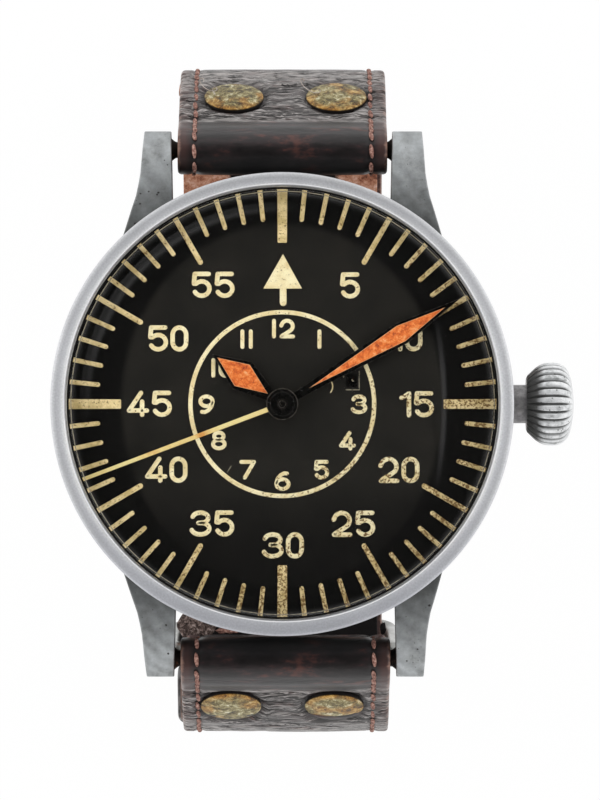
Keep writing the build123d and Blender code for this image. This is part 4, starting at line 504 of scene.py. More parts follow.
def make_strap_leather():
    """Brown-black calf: a smooth glazed fold, then sharp crosswise creases; painted shade in their lines and near
    black where the fold turns under, crests grey with wear and painted highlight, a painted glint at the pinch and a
    painted sheen on the far slope; redder edges.
    """
    mat = material("worn_brown_black_calf")
    mark = node(mat, "ShaderNodeUVMap", uv_map="UVMap").outputs["UV"]
    across = node(mat, "ShaderNodeSeparateXYZ", {"Vector": mark})
    edge = node(mat, "ShaderNodeMath", {0: across.outputs["X"]}, operation="ABSOLUTE")
    outside = node(mat, "ShaderNodeMapRange", {"Value": edge, "From Min": 0.108, "From Max": 0.117})
    worn, pinch = [node(mat, "ShaderNodeAttribute", attribute_name=kind).outputs["Fac"] for kind in ("worn", "pinch")]
    wide = node(mat, "ShaderNodeMapping", {"Vector": mark, "Scale": (10.0, 100.0, 1.0), "Location": (0.45, 0.3, 0)})
    folds = node(mat, "ShaderNodeTexNoise", {"Vector": wide, "Scale": 1.0, "Detail": 4.0, "Roughness": 0.6,
                                             "Distortion": 1.6})
    fine_map = node(mat, "ShaderNodeMapping", {"Vector": mark, "Scale": (60.0, 230.0, 1.0)})
    fine = node(mat, "ShaderNodeTexNoise", {"Vector": fine_map, "Scale": 1.0, "Detail": 4.0})
    tint_map = node(mat, "ShaderNodeMapping", {"Vector": mark, "Scale": (18.0, 50.0, 1.0), "Location": (3, 5, 0)})
    tints = node(mat, "ShaderNodeTexNoise", {"Vector": tint_map, "Scale": 1.0, "Detail": 4.0, "Roughness": 0.65})
    tone = node(mat, "ShaderNodeValToRGB", {"Fac": tints}, stops=[(0.34, "#141011"), (0.48, "#201C1C"),
                                                                  (0.57, "#2B2122"), (0.65, "#4E2F29")])
    frayed = node(mat, "ShaderNodeMath", {0: fine, 1: 0.012, 2: edge}, operation="MULTIPLY_ADD")
    hem = node(mat, "ShaderNodeMapRange", {"Value": frayed, "From Min": 0.128, "From Max": 0.132, "To Max": 0.75})
    # Painted shade: near black where the fold turns under towards the head
    fold = node(mat, "ShaderNodeMapRange", {"Value": across.outputs["Y"], "From Min": -0.012, "From Max": -0.036,
                                            "To Max": 0.85})
    lines_map = node(mat, "ShaderNodeMapping", {"Vector": mark, "Scale": (15.0, 150.0, 1.0), "Location": (4, 9, 0),
                                                "Rotation": (0, 0, 0.12)})
    lines = node(mat, "ShaderNodeTexNoise", {"Vector": lines_map, "Scale": 1.0, "Detail": 3.0, "Roughness": 0.6,
                                             "Distortion": 1.2})
    # Dark crease lines (painted shade) and crests (wear and painted highlight) are the thin lines where the noise
    # crosses its middle
    thin = []
    for pattern, width, least in ((folds, 0.035, 0.0), (lines, 0.045, 0.13)):
        off = node(mat, "ShaderNodeMath", {0: pattern, 1: -0.5})
        off = node(mat, "ShaderNodeMath", {0: off}, operation="ABSOLUTE")
        near = node(mat, "ShaderNodeMapRange", {"Value": off, "From Max": width, "To Min": 1.0, "To Max": least})
        thin.append(node(mat, "ShaderNodeMath", {0: near, 1: worn}, operation="MULTIPLY"))
    crease_shade_line, crest_wear_and_sheen = thin
    # Painted sheen on the far slope and a painted glint at the pinch, both streaked
    streak = node(mat, "ShaderNodeMapRange", {"Value": fine, "From Min": 0.38, "From Max": 0.6})
    far, calm = [
        node(mat, "ShaderNodeMapRange", {"Value": across.outputs["Y"], "From Min": start, "From Max": end,
                                         "To Min": first, "To Max": last})
        for start, end, first, last in ((0.125, 0.165, 0.0, 0.9), (0.19, 0.25, 1.0, 0.0))]
    far = node(mat, "ShaderNodeMath", {0: far, 1: calm}, operation="MULTIPLY")
    glint_band = node(mat, "ShaderNodeMath", {0: pinch, 1: far}, operation="MAXIMUM")
    glint = node(mat, "ShaderNodeMath", {0: glint_band, 1: streak}, operation="MULTIPLY")
    wear_and_glint = node(mat, "ShaderNodeMath", {0: crest_wear_and_sheen, 1: glint}, operation="MAXIMUM")
    for share, colour in ((outside, "#46302D"), (hem, "#9A7565"), (fold, "#060505"), (wear_and_glint, "#B7B1AE"),
                          (crease_shade_line, "#161213")):
        tone = node(mat, "ShaderNodeMixRGB", {"Fac": share, "Color1": tone, "Color2": linear(colour)})
    sunk = node(mat, "ShaderNodeMath", {0: crease_shade_line, 1: -1.0}, operation="MULTIPLY")
    grain = node(mat, "ShaderNodeMath", {0: fine, 1: 0.35}, operation="MULTIPLY")
    heights = node(mat, "ShaderNodeMath", {0: sunk, 1: grain})
    bump = node(mat, "ShaderNodeBump", {"Height": heights, "Strength": 0.8, "Distance": 0.16 * MM})
    rough = node(mat, "ShaderNodeMapRange", {"Value": fine, "To Min": 0.28, "To Max": 0.5})
    return shade(mat, colour=tone, rough=rough, bump=bump, specular=0.5)


def make_tan_leather():
    """Undyed lining leather, mottled tan by sweat; black at six and down the middle at twelve."""
    mat, place = patterned("mottled_tan_lining_leather")
    cloud = node(mat, "ShaderNodeTexNoise", {"Vector": place, "Scale": 1000 / 1.5, "Detail": 7.0, "Roughness": 0.8})
    tone = node(mat, "ShaderNodeValToRGB", {"Fac": cloud},
                stops=[(0.34, "#4A2A20"), (0.44, "#96604A"), (0.52, "#B88368"), (0.6, "#CFA592"), (0.7, "#E6CCC2")])
    split = node(mat, "ShaderNodeSeparateXYZ", {"Vector": place})
    half = node(mat, "ShaderNodeMath", {0: split.outputs["X"]}, operation="ABSOLUTE")
    ragged = node(mat, "ShaderNodeMath", {0: cloud, 1: 1.6 * MM, 2: half}, operation="MULTIPLY_ADD")
    six, middle, twelve = [
        node(mat, "ShaderNodeMapRange", {"Value": value, "From Min": start * MM, "From Max": end * MM})
        for value, start, end in ((split.outputs["Y"], -6, -14), (ragged, 8.1, 7.5), (split.outputs["Y"], 14, 20))]
    blotch = node(mat, "ShaderNodeMath", {0: middle, 1: twelve}, operation="MULTIPLY")
    blackening = node(mat, "ShaderNodeMath", {0: six, 1: blotch}, operation="MAXIMUM")
    dark = node(mat, "ShaderNodeMixRGB", {"Fac": blackening, "Color1": tone, "Color2": linear("#0E0B0B")})
    pores = node(mat, "ShaderNodeTexVoronoi", {"Vector": place, "Scale": 1000 / 0.4})
    bump = node(mat, "ShaderNodeBump", {"Height": pores, "Strength": 0.35, "Distance": 0.06 * MM})
    return shade(mat, colour=dark, rough=0.7, bump=bump, specular=0.2)


def make_frayed_leather():
    """Torn leather fibre: pinkish grey crumbs over dark hollows."""
    mat, place = patterned("frayed_leather_fibre")
    mixed = node(mat, "ShaderNodeTexNoise", {"Vector": place, "Scale": 1000 / 0.9, "Detail": 8.0, "Roughness": 0.85,
                                             "Distortion": 1.2})
    tone = node(mat, "ShaderNodeValToRGB", {"Fac": mixed}, stops=[(0.4, "#15100F"), (0.48, "#4A3A36"),
                                                                  (0.54, "#8F7A72"), (0.62, "#D6C6BF")])
    bump = node(mat, "ShaderNodeBump", {"Height": mixed, "Strength": 0.9, "Distance": 0.3 * MM})
    return shade(mat, colour=tone, rough=0.85, bump=bump)


def make_thread():
    """Waxed linen thread, faded pink-brown, with dark dirt between its strands."""
    mat, place = patterned("faded_waxed_thread")
    strand = node(mat, "ShaderNodeTexNoise", {"Vector": place, "Scale": 1000 / 0.3, "Detail": 3.0})
    tone = node(mat, "ShaderNodeValToRGB", {"Fac": strand}, stops=[(0.32, "#5E3F38"), (0.5, "#93695D"),
                                                                   (0.68, "#C29C8F")])
    return shade(mat, colour=tone, rough=0.8)


def make_rivet_brass():
    """Old brass rivet: olive under a grey-green crust, bare gold on its worn side, and a painted shade ring round its
    foot.
    """
    mat, place = patterned("patinated_rivet_brass")
    cloud = node(mat, "ShaderNodeTexNoise", {"Vector": place, "Scale": 1000 / 1.0, "Detail": 7.0, "Roughness": 0.8,
                                             "Distortion": 0.5})
    tone = node(mat, "ShaderNodeValToRGB", {"Fac": cloud},
                stops=[(0.38, "#1E180D"), (0.45, "#645730"), (0.53, "#958858"), (0.59, "#C4BD97"), (0.66, "#F4F1E2")])
    warm = node(mat, "ShaderNodeTexNoise", {"Vector": place, "Scale": 1000 / 2.6, "Detail": 3.0})
    amber = node(mat, "ShaderNodeMapRange", {"Value": warm, "From Min": 0.48, "From Max": 0.62, "To Max": 0.75})
    rim, foot = [node(mat, "ShaderNodeAttribute", attribute_name=kind).outputs["Fac"] for kind in ("rim", "foot")]
    gilt = node(mat, "ShaderNodeValToRGB", {"Fac": cloud}, stops=[(0.38, "#3E270C"), (0.5, "#A67326"),
                                                                  (0.62, "#DDB565")])
    bare = node(mat, "ShaderNodeMath", {0: warm, 1: 1.75}, operation="MULTIPLY")
    bare = node(mat, "ShaderNodeMath", {0: bare, 1: rim}, operation="MULTIPLY")
    bare = node(mat, "ShaderNodeMath", {0: bare, 1: amber}, operation="MAXIMUM", use_clamp=True)
    gold = node(mat, "ShaderNodeMixRGB", {"Fac": bare, "Color1": tone, "Color2": gilt})
    # Painted shade: dark ring round the rivet's foot
    foot_shade = node(mat, "ShaderNodeMixRGB", {"Fac": foot, "Color1": gold, "Color2": linear("#1A1514")})
    bump = node(mat, "ShaderNodeBump", {"Height": cloud, "Strength": 0.8, "Distance": 0.14 * MM})
    return shade(mat, colour=foot_shade, metal=0.35, rough=0.42, bump=bump)


def make_metal(name, dark, light, rough, grain, metal=1.0):
    """Plain finished metal of the movement and buckle: two tones in soft clouds and a fine grain."""
    mat, place = patterned(name)
    cloud = node(mat, "ShaderNodeTexNoise", {"Vector": place, "Scale": 1000 / 2.5, "Detail": 4.0})
    tone = node(mat, "ShaderNodeValToRGB", {"Fac": cloud}, stops=[(0.35, dark), (0.65, light)])
    fine = node(mat, "ShaderNodeTexNoise", {"Vector": place, "Scale": 1000 / grain})
    bump = node(mat, "ShaderNodeBump", {"Height": fine, "Strength": 0.2, "Distance": 0.02 * MM})
    return shade(mat, colour=tone, metal=metal, rough=rough, bump=bump)


def make_ruby():
    """Synthetic ruby jewels: clear deep pink-red with a polished face."""
    mat, place = patterned("synthetic_ruby")
    cloud = node(mat, "ShaderNodeTexNoise", {"Vector": place, "Scale": 1000 / 0.8, "Detail": 1.0})
    tone = node(mat, "ShaderNodeValToRGB", {"Fac": cloud}, stops=[(0.3, "#9C1034"), (0.7, "#C21A48")])
    return shade(mat, colour=tone, rough=0.12, ior=1.77)


satin_steel = make_satin_steel()
pitted_steel = make_pitted_steel()
acrylic = make_acrylic()
dial_lacquer = make_dial_lacquer()
numeral_paint = make_aged_paint("aged_cream_numeral_paint", "#FFF3C6", "#EDD9A2", "#7A5C35", 0.39, 0.0)
track_paint = make_aged_paint("aged_olive_track_paint", "#F6E0A8", "#CDB57A", "#83663D", 0.43, 0.7)
faded_line_and_highlight_paint = make_aged_paint("faded_line_paint_and_shoulder_highlight", "#A29A84", "#857D6B", "#4B463D", 0.4, 0.0)
hand_enamel = make_black_enamel()
orange_lume = make_orange_lume()
cream_hand = make_stained_cream()
crown_steel = make_crown_steel()
bar_steel = make_dark_steel("blackened_bar_steel", "#1C1A19", "#2E2A28", 0.66)
tube_steel = make_dark_steel("oxidised_tube_steel", "#7A787A", "#A9A7A7", 0.7)
strap_leather = make_strap_leather()
tan_leather = make_tan_leather()
frayed_leather = make_frayed_leather()
thread = make_thread()
pale_thread = make_aged_paint("bleached_thread", "#D8CFC6", "#B4A79C", "#7A6A60", 0.35, 0.0)
rivet_brass = make_rivet_brass()
lip_highlight = make_metal("polished_bezel_lip_highlight", "#F0F1F4", "#FFFFFF", 0.25, 0.2, 0.1)
buckle_nickel = make_metal("worn_buckle_nickel", "#8E8F8C", "#C9CAC8", 0.32, 0.2)
gilt_plate = make_metal("frosted_grey_gilt_brass", "#B9A67C", "#CFC09A", 0.45, 0.15)
wheel_brass = make_metal("gilt_wheel_brass", "#C29A4E", "#DDBA6E", 0.28, 0.12)
polished_steel = make_metal("polished_movement_steel", "#A9ABAE", "#CDCFD2", 0.2, 0.1)
blued_steel = make_metal("blued_steel", "#15254F", "#26407C", 0.22, 0.1)
inner_steel = make_metal("turned_inner_steel", "#9A9C9E", "#C4C6C8", 0.35, 0.12)
ruby = make_ruby()


# Movement: the CAD nodes stay, each in its own metal
movement = {
    gilt_plate: ["main_plate", "barrel_bridge", "train_bridge", "balance_cock", "pallet_cock", "movement_ring"],
    wheel_brass: ["mainspring_barrel", "barrel_cover", "centre_wheel", "third_wheel", "fourth_wheel",
                  "minute_wheel", "hour_wheel", "balance_wheel"],
    polished_steel: ["barrel_arbor", "winding_stem", "winding_pinion", "sliding_pinion", "crown_wheel",
                     "ratchet_wheel", "click", "click_spring", "setting_lever", "cannon_pinion",
                     "escape_wheel", "pallet_fork", "regulator", "case_clamps"],
    blued_steel: ["bridge_screws", "hairspring", "mainspring"],
    ruby: ["jewels", "pallet_stones"],
}
for metal, names in movement.items():
    for name in names:
        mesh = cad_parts[name].data
        mesh.materials.clear()
        mesh.materials.append(metal)


# Case


def settled(obj):
    """Shift what lies round the opening, which isn't quite centred; the shift fades out before the bezel's rim."""
    for v in obj.data.vertices:
        share = max(0.0, min(1.0, (26.9 - math.hypot(v.co.x, v.co.y) / MM) / 0.8))
        v.co.x, v.co.y = v.co.x + OPENING_SHIFT[0] * MM * share, v.co.y + OPENING_SHIFT[1] * MM * share
    return obj


def make_bezel():
    """Wide satin bezel: straight side, small rolled rim, flat band and an inner fillet painted near white as its
    highlight.
    """
    top = BEZEL_TOP
    obj = turned("bezel_ring", [
        (26.15, MIDDLE_TOP), (27.4, MIDDLE_TOP), (27.5, MIDDLE_TOP + 0.1), (27.5, top - 0.5), (27.48, top - 0.32),
        (27.41, top - 0.18), (27.28, top - 0.08), (27.1, top - 0.03), (26.8, top - 0.005), (26.4, top), (26.05, top),
        (25.95, top - 0.03), (25.86, top - 0.12), (25.79, top - 0.3), (25.6, top - 0.75),
        (25.6, MIDDLE_TOP + 1.5), (26.15, MIDDLE_TOP + 1.5), (26.15, MIDDLE_TOP)], steps=256)
    finish(settled(obj), "case", satin_steel, "bezel_steel", "bezel", angle=28)
    # Polished inner fillet; its near-white colour is a painted highlight
    lip = turned("bezel_lip", [(25.84, top - 0.16), (25.87, top - 0.06), (25.92, top - 0.005), (25.96, top + 0.004),
                               (26.0, top - 0.03), (25.93, top - 0.2), (25.84, top - 0.16)], steps=256)
    return finish(settled(lip), "case", lip_highlight, "bezel_steel")


def make_crystal():
    """Domed crystal, flat in the middle and steep at its rim, with its wall down in the bezel; a dark ring stands for
    the shade in its joint with the bezel, and a thin pale ring for the highlight on its shoulder.
    """
    low, high = CRYSTAL_TOP - 1.2, CRYSTAL_TOP
    shares = (0, 0.12, 0.25, 0.38, 0.5, 0.6, 0.7, 0.78, 0.85, 0.91, 0.96, 1)
    inside = [(25.1 * s, low - 2.45 * s ** 2.8) for s in shares]
    outside = [(24.9 * s, high - 2.35 * s ** 2.8) for s in shares[::-1]]
    wall = [(25.19, 53.1), (25.19, MIDDLE_TOP + 0.03), (26.1, MIDDLE_TOP + 0.03), (26.1, MIDDLE_TOP + 1.45),
            (25.56, MIDDLE_TOP + 1.45), (25.56, 53.5), (25.48, 53.9), (25.28, 54.25)]
    obj = turned("domed_crystal", inside + wall + outside)
    finish(obj, "case", acrylic, "acrylic", "crystal", angle=30)
    # Painted shade: a dark ring fills the gap between crystal and bezel
    gap_shade = turned("joint_gap_shade", [(25.33, 54.22), (25.38, 54.3), (25.48, 54.28), (25.58, 54.1), (25.6, 53.85),
                                   (25.5, 53.9), (25.33, 54.22)])
    finish(settled(gap_shade), "case", dial_lacquer, "steel_inside")
    # Painted highlight: a thin pale ring on the crystal's shoulder
    edge = turned("crystal_shoulder_highlight", [(25.02, 54.44), (25.09, 54.39), (25.12, 54.42), (25.05, 54.48),
                                        (25.02, 54.44)])
    return finish(settled(edge), "case", faded_line_and_highlight_paint, "acrylic")


def make_tension_ring():
    """Steel ring that stretches the crystal's wall out into the bezel; only its top edge shows."""
    obj = turned("tension_ring_band", [
        (25.6, DIAL_TOP), (25.88, DIAL_TOP), (25.88, MIDDLE_TOP - 0.08), (25.82, MIDDLE_TOP - 0.02),
        (25.66, MIDDLE_TOP - 0.02), (25.6, MIDDLE_TOP - 0.08), (25.6, DIAL_TOP)])
    return finish(obj, "case", inner_steel, "steel_inside", "tension_ring")


def make_case_back():
    """Snap-on back with a stepped, gently domed middle."""
    base = HEAD_BASE
    obj = turned("snap_back", [
        (0, base), (17.0, base + 0.04), (18.6, base + 0.14), (19.3, base + 0.3), (24.3, base + 0.72),
        (25.5, base + 1.0), (26.1, base + 1.35), (26.28, base + 1.7), (26.3, base + 2.0), (25.47, base + 2.0),
        (25.47, base + 3.4), (24.75, base + 3.4), (24.75, base + 2.0), (24.0, base + 1.35),
        (0, base + 1.3)])
    return finish(obj, "case", pitted_steel, "steel_case", "case_back", angle=25)


# Inner and outer flank of each lug at its tip, as measured: the old case isn't quite true
LUG_TIPS = {(-1, 1): (13.37, 16.57), (1, 1): (13.2, 16.76), (-1, -1): (13.02, 16.3), (1, -1): (13.7, 16.96)}


def make_lug(side_x, side_y):
    """Square-ended lug with a straight inner flank and an outer flank that flares towards the case."""
    inner_tip, outer_tip = LUG_TIPS[side_x, side_y]
    outer_line = [(19.0, 19.4), (20.27, 18.97), (21.8, 18.5), (23.3, 18.03), (24.9, 17.51), (26.2, 17.24),
                  (27.6, 17.0), (28.9, 16.9), (30.8, 16.76), (32.0, 16.64), (32.6, 16.58), (32.7, 16.56),
                  (32.75, 16.5)]
    rings = []
    for y, outer in outer_line:
        share = (y - 19.0) / 13.75
        top = MIDDLE_BOTTOM + 7.2 - 1.1 * share - 2.7 * share ** 3 - (0.08 if y > 32.72 else 0)
        bottom = MIDDLE_BOTTOM + (0 if y < 31 else 1.5 * (y - 31) / 1.75)
        roll, low_roll = 0.22, 0.22
        left = inner_tip - 0.3 * (1 - share) + (0.06 if y > 32.72 else 0)
        right = outer + (outer_tip - 16.57) * share ** 0.7
        ring = []
        for cx, cz, start, size in ((right - roll, top - roll, 0, roll), (left + roll, top - roll, 90, roll),
                                    (left + low_roll, bottom + low_roll, 180, low_roll),
                                    (right - low_roll, bottom + low_roll, 270, low_roll)):
            for step in range(5):
                dx, dz = polar(size, start + step * 22.5)
                ring.append(((cx + dx) * side_x, y * side_y, cz + dz))
        rings.append(ring)
    return skin("lug", rings)


def make_case_middle():
    """Turned case band with a lug at each corner."""
    obj = turned("case_band", [
        (25.5, MIDDLE_BOTTOM), (26.3, MIDDLE_BOTTOM), (26.72, MIDDLE_BOTTOM + 0.12), (26.92, MIDDLE_BOTTOM + 0.4),
        (27.0, MIDDLE_BOTTOM + 0.8), (27.0, MIDDLE_TOP - 0.3), (26.94, MIDDLE_TOP - 0.08), (26.8, MIDDLE_TOP),
        (25.95, MIDDLE_TOP), (25.95, DIAL_BOTTOM), (24.6, DIAL_BOTTOM), (24.6, MIDDLE_BOTTOM + 1.45),
        (25.5, MIDDLE_BOTTOM + 1.45), (25.5, MIDDLE_BOTTOM)])
    lugs = [make_lug(side_x, side_y) for side_x in (-1, 1) for side_y in (-1, 1)]
    obj = joined("case_band_with_lugs", [obj] + lugs)
    return finish(obj, "case", pitted_steel, "steel_case", "case_middle", angle=32)


def make_bar(side, name, node_name):
    """Fixed strap bar, soldered into its lugs with a flared fillet at each end."""
    fillet = [(0, 0.3), (1.4, 0.3), (1.4, 0.0), (1.22, -0.2), (1.02, -0.45), (0.92, -0.8), (0.88, -1.4)]
    left, right = LUG_TIPS[-1, side][0] - 0.03, LUG_TIPS[1, side][0] - 0.03
    profile = [(r, -left - x) for r, x in fillet] + [(r, right + x) for r, x in fillet[::-1]]
    obj = turned(name, profile, steps=32, axis="X", centre=(0, side * (BAR_REACH + 0.35), BAR_HEIGHT))
    return finish(obj, "case", bar_steel, "bar_steel", node_name)


# Dial, markings and hands


def make_dial():
    """Flat dial disc with a hole for the hands' pipes."""
    obj = turned("dial_disc", [(1.4, DIAL_BOTTOM), (25.9, DIAL_BOTTOM), (25.9, DIAL_TOP), (1.4, DIAL_TOP),
                               (1.4, DIAL_BOTTOM)], steps=128)
    return finish(obj, "case", dial_lacquer, "dial_black", "dial")


def arc(cx, cy, rx, ry, start, end, count=14):
    """Points round an oval from one angle to another, in degrees."""
    return [(cx + rx * x, cy + ry * y)
            for x, y in (polar(1, start + (end - start) * i / count) for i in range(count + 1))]


# Each figure is its width and its strokes' centre lines, one unit high; a closed stroke ends where it starts.
# "I" is the hour ring's one, a bare stroke.
FIGURES = {
    "0": (0.62, [arc(0.31, 0.67, 0.31, 0.33, 0, 180) + arc(0.31, 0.33, 0.31, 0.33, 180, 360) + [(0.62, 0.67)]]),
    "1": (0.34, [[(0.0, 0.8), (0.1, 0.83), (0.34, 1.0)], [(0.34, 1.0), (0.34, 0.0)]]),
    "I": (0.0, [[(0.0, 1.0), (0.0, 0.0)]]),
    "2": (0.76, [[(0.0, 0.69)] + arc(0.375, 0.65, 0.36, 0.35, 165, -15, 12)
                 + [(0.66, 0.44), (0.52, 0.33), (0.3, 0.19), (0.1, 0.07), (0.02, 0.0)], [(0.02, 0.0), (0.76, 0.0)]]),
    "3": (0.84, [arc(0.43, 0.76, 0.36, 0.24, 168, -80) + [(0.34, 0.525)],
                 [(0.34, 0.525)] + arc(0.43, 0.27, 0.41, 0.27, 78, -165)]),
    "4": (0.82, [[(0.55, 1.0), (0.0, 0.19)], [(0.0, 0.19), (0.82, 0.19)], [(0.6, 0.6), (0.6, 0.0)]]),
    "5": (0.75, [[(0.71, 1.0), (0.07, 1.0)], [(0.07, 1.0), (0.03, 0.56)],
                 [(0.03, 0.56)] + arc(0.39, 0.33, 0.355, 0.33, 138, -152)]),
    "6": (0.78, [[(0.68, 0.98), (0.5, 1.0), (0.27, 0.88), (0.08, 0.65), (0.0, 0.36)]
                 + arc(0.39, 0.31, 0.39, 0.31, 180, 540, 20)]),
    "7": (0.8, [[(0.0, 1.0), (0.8, 1.0)], [(0.8, 1.0), (0.22, 0.0)]]),
    "8": (0.74, [arc(0.37, 0.77, 0.3, 0.23, -90, 270, 20), arc(0.37, 0.27, 0.37, 0.27, 90, 450, 20)]),
    "9": (0.78, [[(0.1, 0.02), (0.28, 0.0), (0.51, 0.12), (0.7, 0.35), (0.78, 0.64)]
                 + arc(0.39, 0.69, 0.39, 0.31, 0, 360, 20)]),
}


def painted(name, strokes, height):
    """Raised paint strokes on the dial, each (points, width, closed), with rounded ends."""
    curve = bpy.data.curves.new(name, "CURVE")
    curve.dimensions, curve.bevel_depth, curve.bevel_resolution = "3D", MM, 1
    for points, width, closed in strokes:
        half = width / 2
        spots = [(Vector((*p, 0)), half) for p in points]
        if not closed:
            first, last = spots[0][0], spots[-1][0]
            head = (first - spots[1][0]).normalized()
            tail = (last - spots[-2][0]).normalized()
            spots = [(first + head * half * a, half * b) for a, b in ((1.0, 0.02), (0.85, 0.52), (0.5, 0.86))] + spots
            spots += [(last + tail * half * a, half * b) for a, b in ((0.5, 0.86), (0.85, 0.52), (1.0, 0.02))]
        spline = curve.splines.new("POLY")
        spline.points.add(len(spots) - 1)
        for point, (spot, radius) in zip(spline.points, spots):
            point.co, point.radius = (*(spot * MM), 1), radius
        spline.use_cyclic_u = closed
    obj = meshed(name, curve)
    obj.data.transform(Matrix.Translation((0, 0, (DIAL_TOP + 0.01) * MM)) @ Matrix.Diagonal((1, 1, height, 1)))
    return obj


def figure_strokes(text, centre, height, width, gap):
    """Strokes of a number, centred on a place of the dial."""
    tall = height - width
    total = sum(FIGURES[c][0] * tall for c in text) + (len(text) - 1) * gap
    x, strokes = centre[0] - total / 2, []
    for c in text:
        size, lines = FIGURES[c]
        for line in lines:
            points = [(x + px * tall, centre[1] + (py - 0.5) * tall) for px, py in line]
            closed = (Vector(points[0]) - Vector(points[-1])).length < 0.01 and len(points) > 12
            strokes.append((points[:-1] if closed else points, width, closed))
        x += size * tall + gap
    return strokes


def make_track():
    """Minute track at the dial's rim: broad quarter bars, long five-minute bars and short minute bars."""
    strokes, bars = [], []
    for i in range(60):
        quarter, five = i % 15 == 0, i % 5 == 0
        inner = 19.15 if five else 21.75
        side = polar(1, 90 - 6 * i)
        if quarter:
            along, across = Vector((*side, 0)), Vector((-side[1], side[0], 0))
            corners = [along * r + across * w for r, w in ((inner, -0.5), (inner + 0.12, -0.57), (TRACK_END, -0.6),
                                                           (TRACK_END, 0.6), (inner + 0.12, 0.57), (inner, 0.5))]
            bars.append(plate("quarter_bar", [(c.x, c.y) for c in corners], DIAL_TOP - 0.05, DIAL_TOP + 0.14,
                              bevel=0.06))
            continue
        width = 0.62 if five else 0.54
        points = [(side[0] * r, side[1] * r) for r in (inner + width / 2, TRACK_END)]
        strokes.append((points, width, False))
    obj = joined("minute_track", [painted("track_lines", strokes, 0.3)] + bars)
    return finish(obj, "case", track_paint, "cream_paint", angle=50)


def make_markings():
    """Hour ring, arrow and plain numbers, raised in thick cream paint."""
    strokes = [(arc(0, 0, 10.93, 10.93, 0, 360, 120)[:-1], 0.52, True)]
    minutes = {"5": (8.02, 14.1), "10": (14.77, 7.83), "15": (15.98, -0.03), "20": (13.86, -7.83),
               "25": (8.45, -14.23), "30": (0.02, -16.8), "35": (-8.4, -14.2), "40": (-13.8, -7.8),
               "45": (-15.8, 0.03), "50": (-13.6, 7.8), "55": (-8.25, 14.17)}
    for text, centre in minutes.items():
        strokes += figure_strokes(text, centre, 3.13, 0.54, 0.78)
    hours = {"I2": (0.15, 8.98), "I": (4.42, 7.72), "3": (9.1, -0.03), "4": (7.75, -4.36),
             "5": (4.65, -7.82), "6": (0.02, -9.17), "7": (-4.12, -7.82), "8": (-7.55, -4.33),
             "9": (-9.02, -0.03), "I0": (-7.2, 4.3), "II": (-4.25, 7.72)}
    for text, centre in hours.items():
        strokes += figure_strokes(text, centre, 2.34, 0.47, 1.0 if text == "II" else 0.86)
    strokes.append((arc(4.9, 2.1, 1.1, 1.1, 32, -40, 6), 0.15, False))
    lines = painted("painted_lines", strokes, 0.3)
    tip, base = 17.85, 13.72
    arrow = plate("arrow_head", [(0.08, tip), (-2.28, base), (2.36, base)], DIAL_TOP - 0.05, DIAL_TOP + 0.12,
                  bevel=0.06)
    stem = painted("arrow_stem", [([(0.1, base + 0.3), (0.1, 12.05)], 0.8, False)], 0.25)
    obj = joined("dial_figures", [lines, arrow, stem])
    finish(obj, "case", numeral_paint, "cream_paint", "dial_markings", angle=50)
    corners = painted("faded_corners", [
        ([(7.3, 3.2), (7.3, 3.9)], 0.13, False), ([(7.3, 3.9), (7.95, 3.9)], 0.13, False),
        ([(9.15, 3.9), (9.15, 1.7)], 0.12, False), ([(9.15, 1.7), (7.6, 1.7)], 0.12, False),
        ([(8.3, 2.9), (8.4, 2.75)], 0.2, False),
        ([(-6.1, -7.4), (-6.55, -8.1)], 0.09, False)], 0.3)
    finish(corners, "case", faded_line_and_highlight_paint, "cream_paint", angle=50)
    patch = plate("dark_patch", [(7.6, 2.0), (8.9, 2.0), (8.9, 3.6), (7.6, 3.6)], DIAL_TOP - 0.02,
                  DIAL_TOP + 0.02)
    finish(patch, "case", hand_enamel, "hand_black")
    scratch = painted("arrow_scratch", [([(0.0, 15.55), (0.62, 15.85)], 0.13, False)], 1.9)
    finish(scratch, "case", hand_enamel, "hand_black", angle=50)


def turned_by(angle):
    """A hand is modelled pointing at twelve, and turned to where the photo has it."""
    return Matrix.Rotation(-math.radians(angle), 4, "Z")


def make_hand(name, half_outline, tip, bottom, angle, hub, body, nodes_name, hole):
    """Black hand frame: tapered sword with a round hub."""
    outline = [(w, r) for r, w in half_outline] + [(0, tip)] + [(-w, r) for r, w in half_outline[::-1]]
    blade = plate(name, outline, bottom, bottom + 0.25, bevel=0.07)
    ring = turned(name + "_hub", [(hole, bottom), (hub - 0.08, bottom), (hub, bottom + 0.06), (hub, bottom + 0.2),
                                  (hub - 0.08, bottom + 0.28), (hole, bottom + 0.28), (hole, bottom)], steps=64)
    obj = joined(name, [blade, ring])
    obj.data.transform(turned_by(angle))
    return finish(obj, body, hand_enamel, "hand_black", nodes_name, angle=40)


def make_lume(name, half_outline, tip, foot, bottom, angle, body, node_name):
    """Lume filling of a hand: a grainy field standing just over the frame, pillowed to its edges."""
    outline = [(w, r) for r, w in half_outline] + [(0, tip)] + [(-w, r) for r, w in half_outline[::-1]] + [(0, foot)]
    obj = plate(name, outline, bottom, bottom + 0.36, bevel=0.09, segments=3)
    obj.data.transform(turned_by(angle))
    return finish(obj, body, orange_lume, "orange_lume", node_name, angle=60)


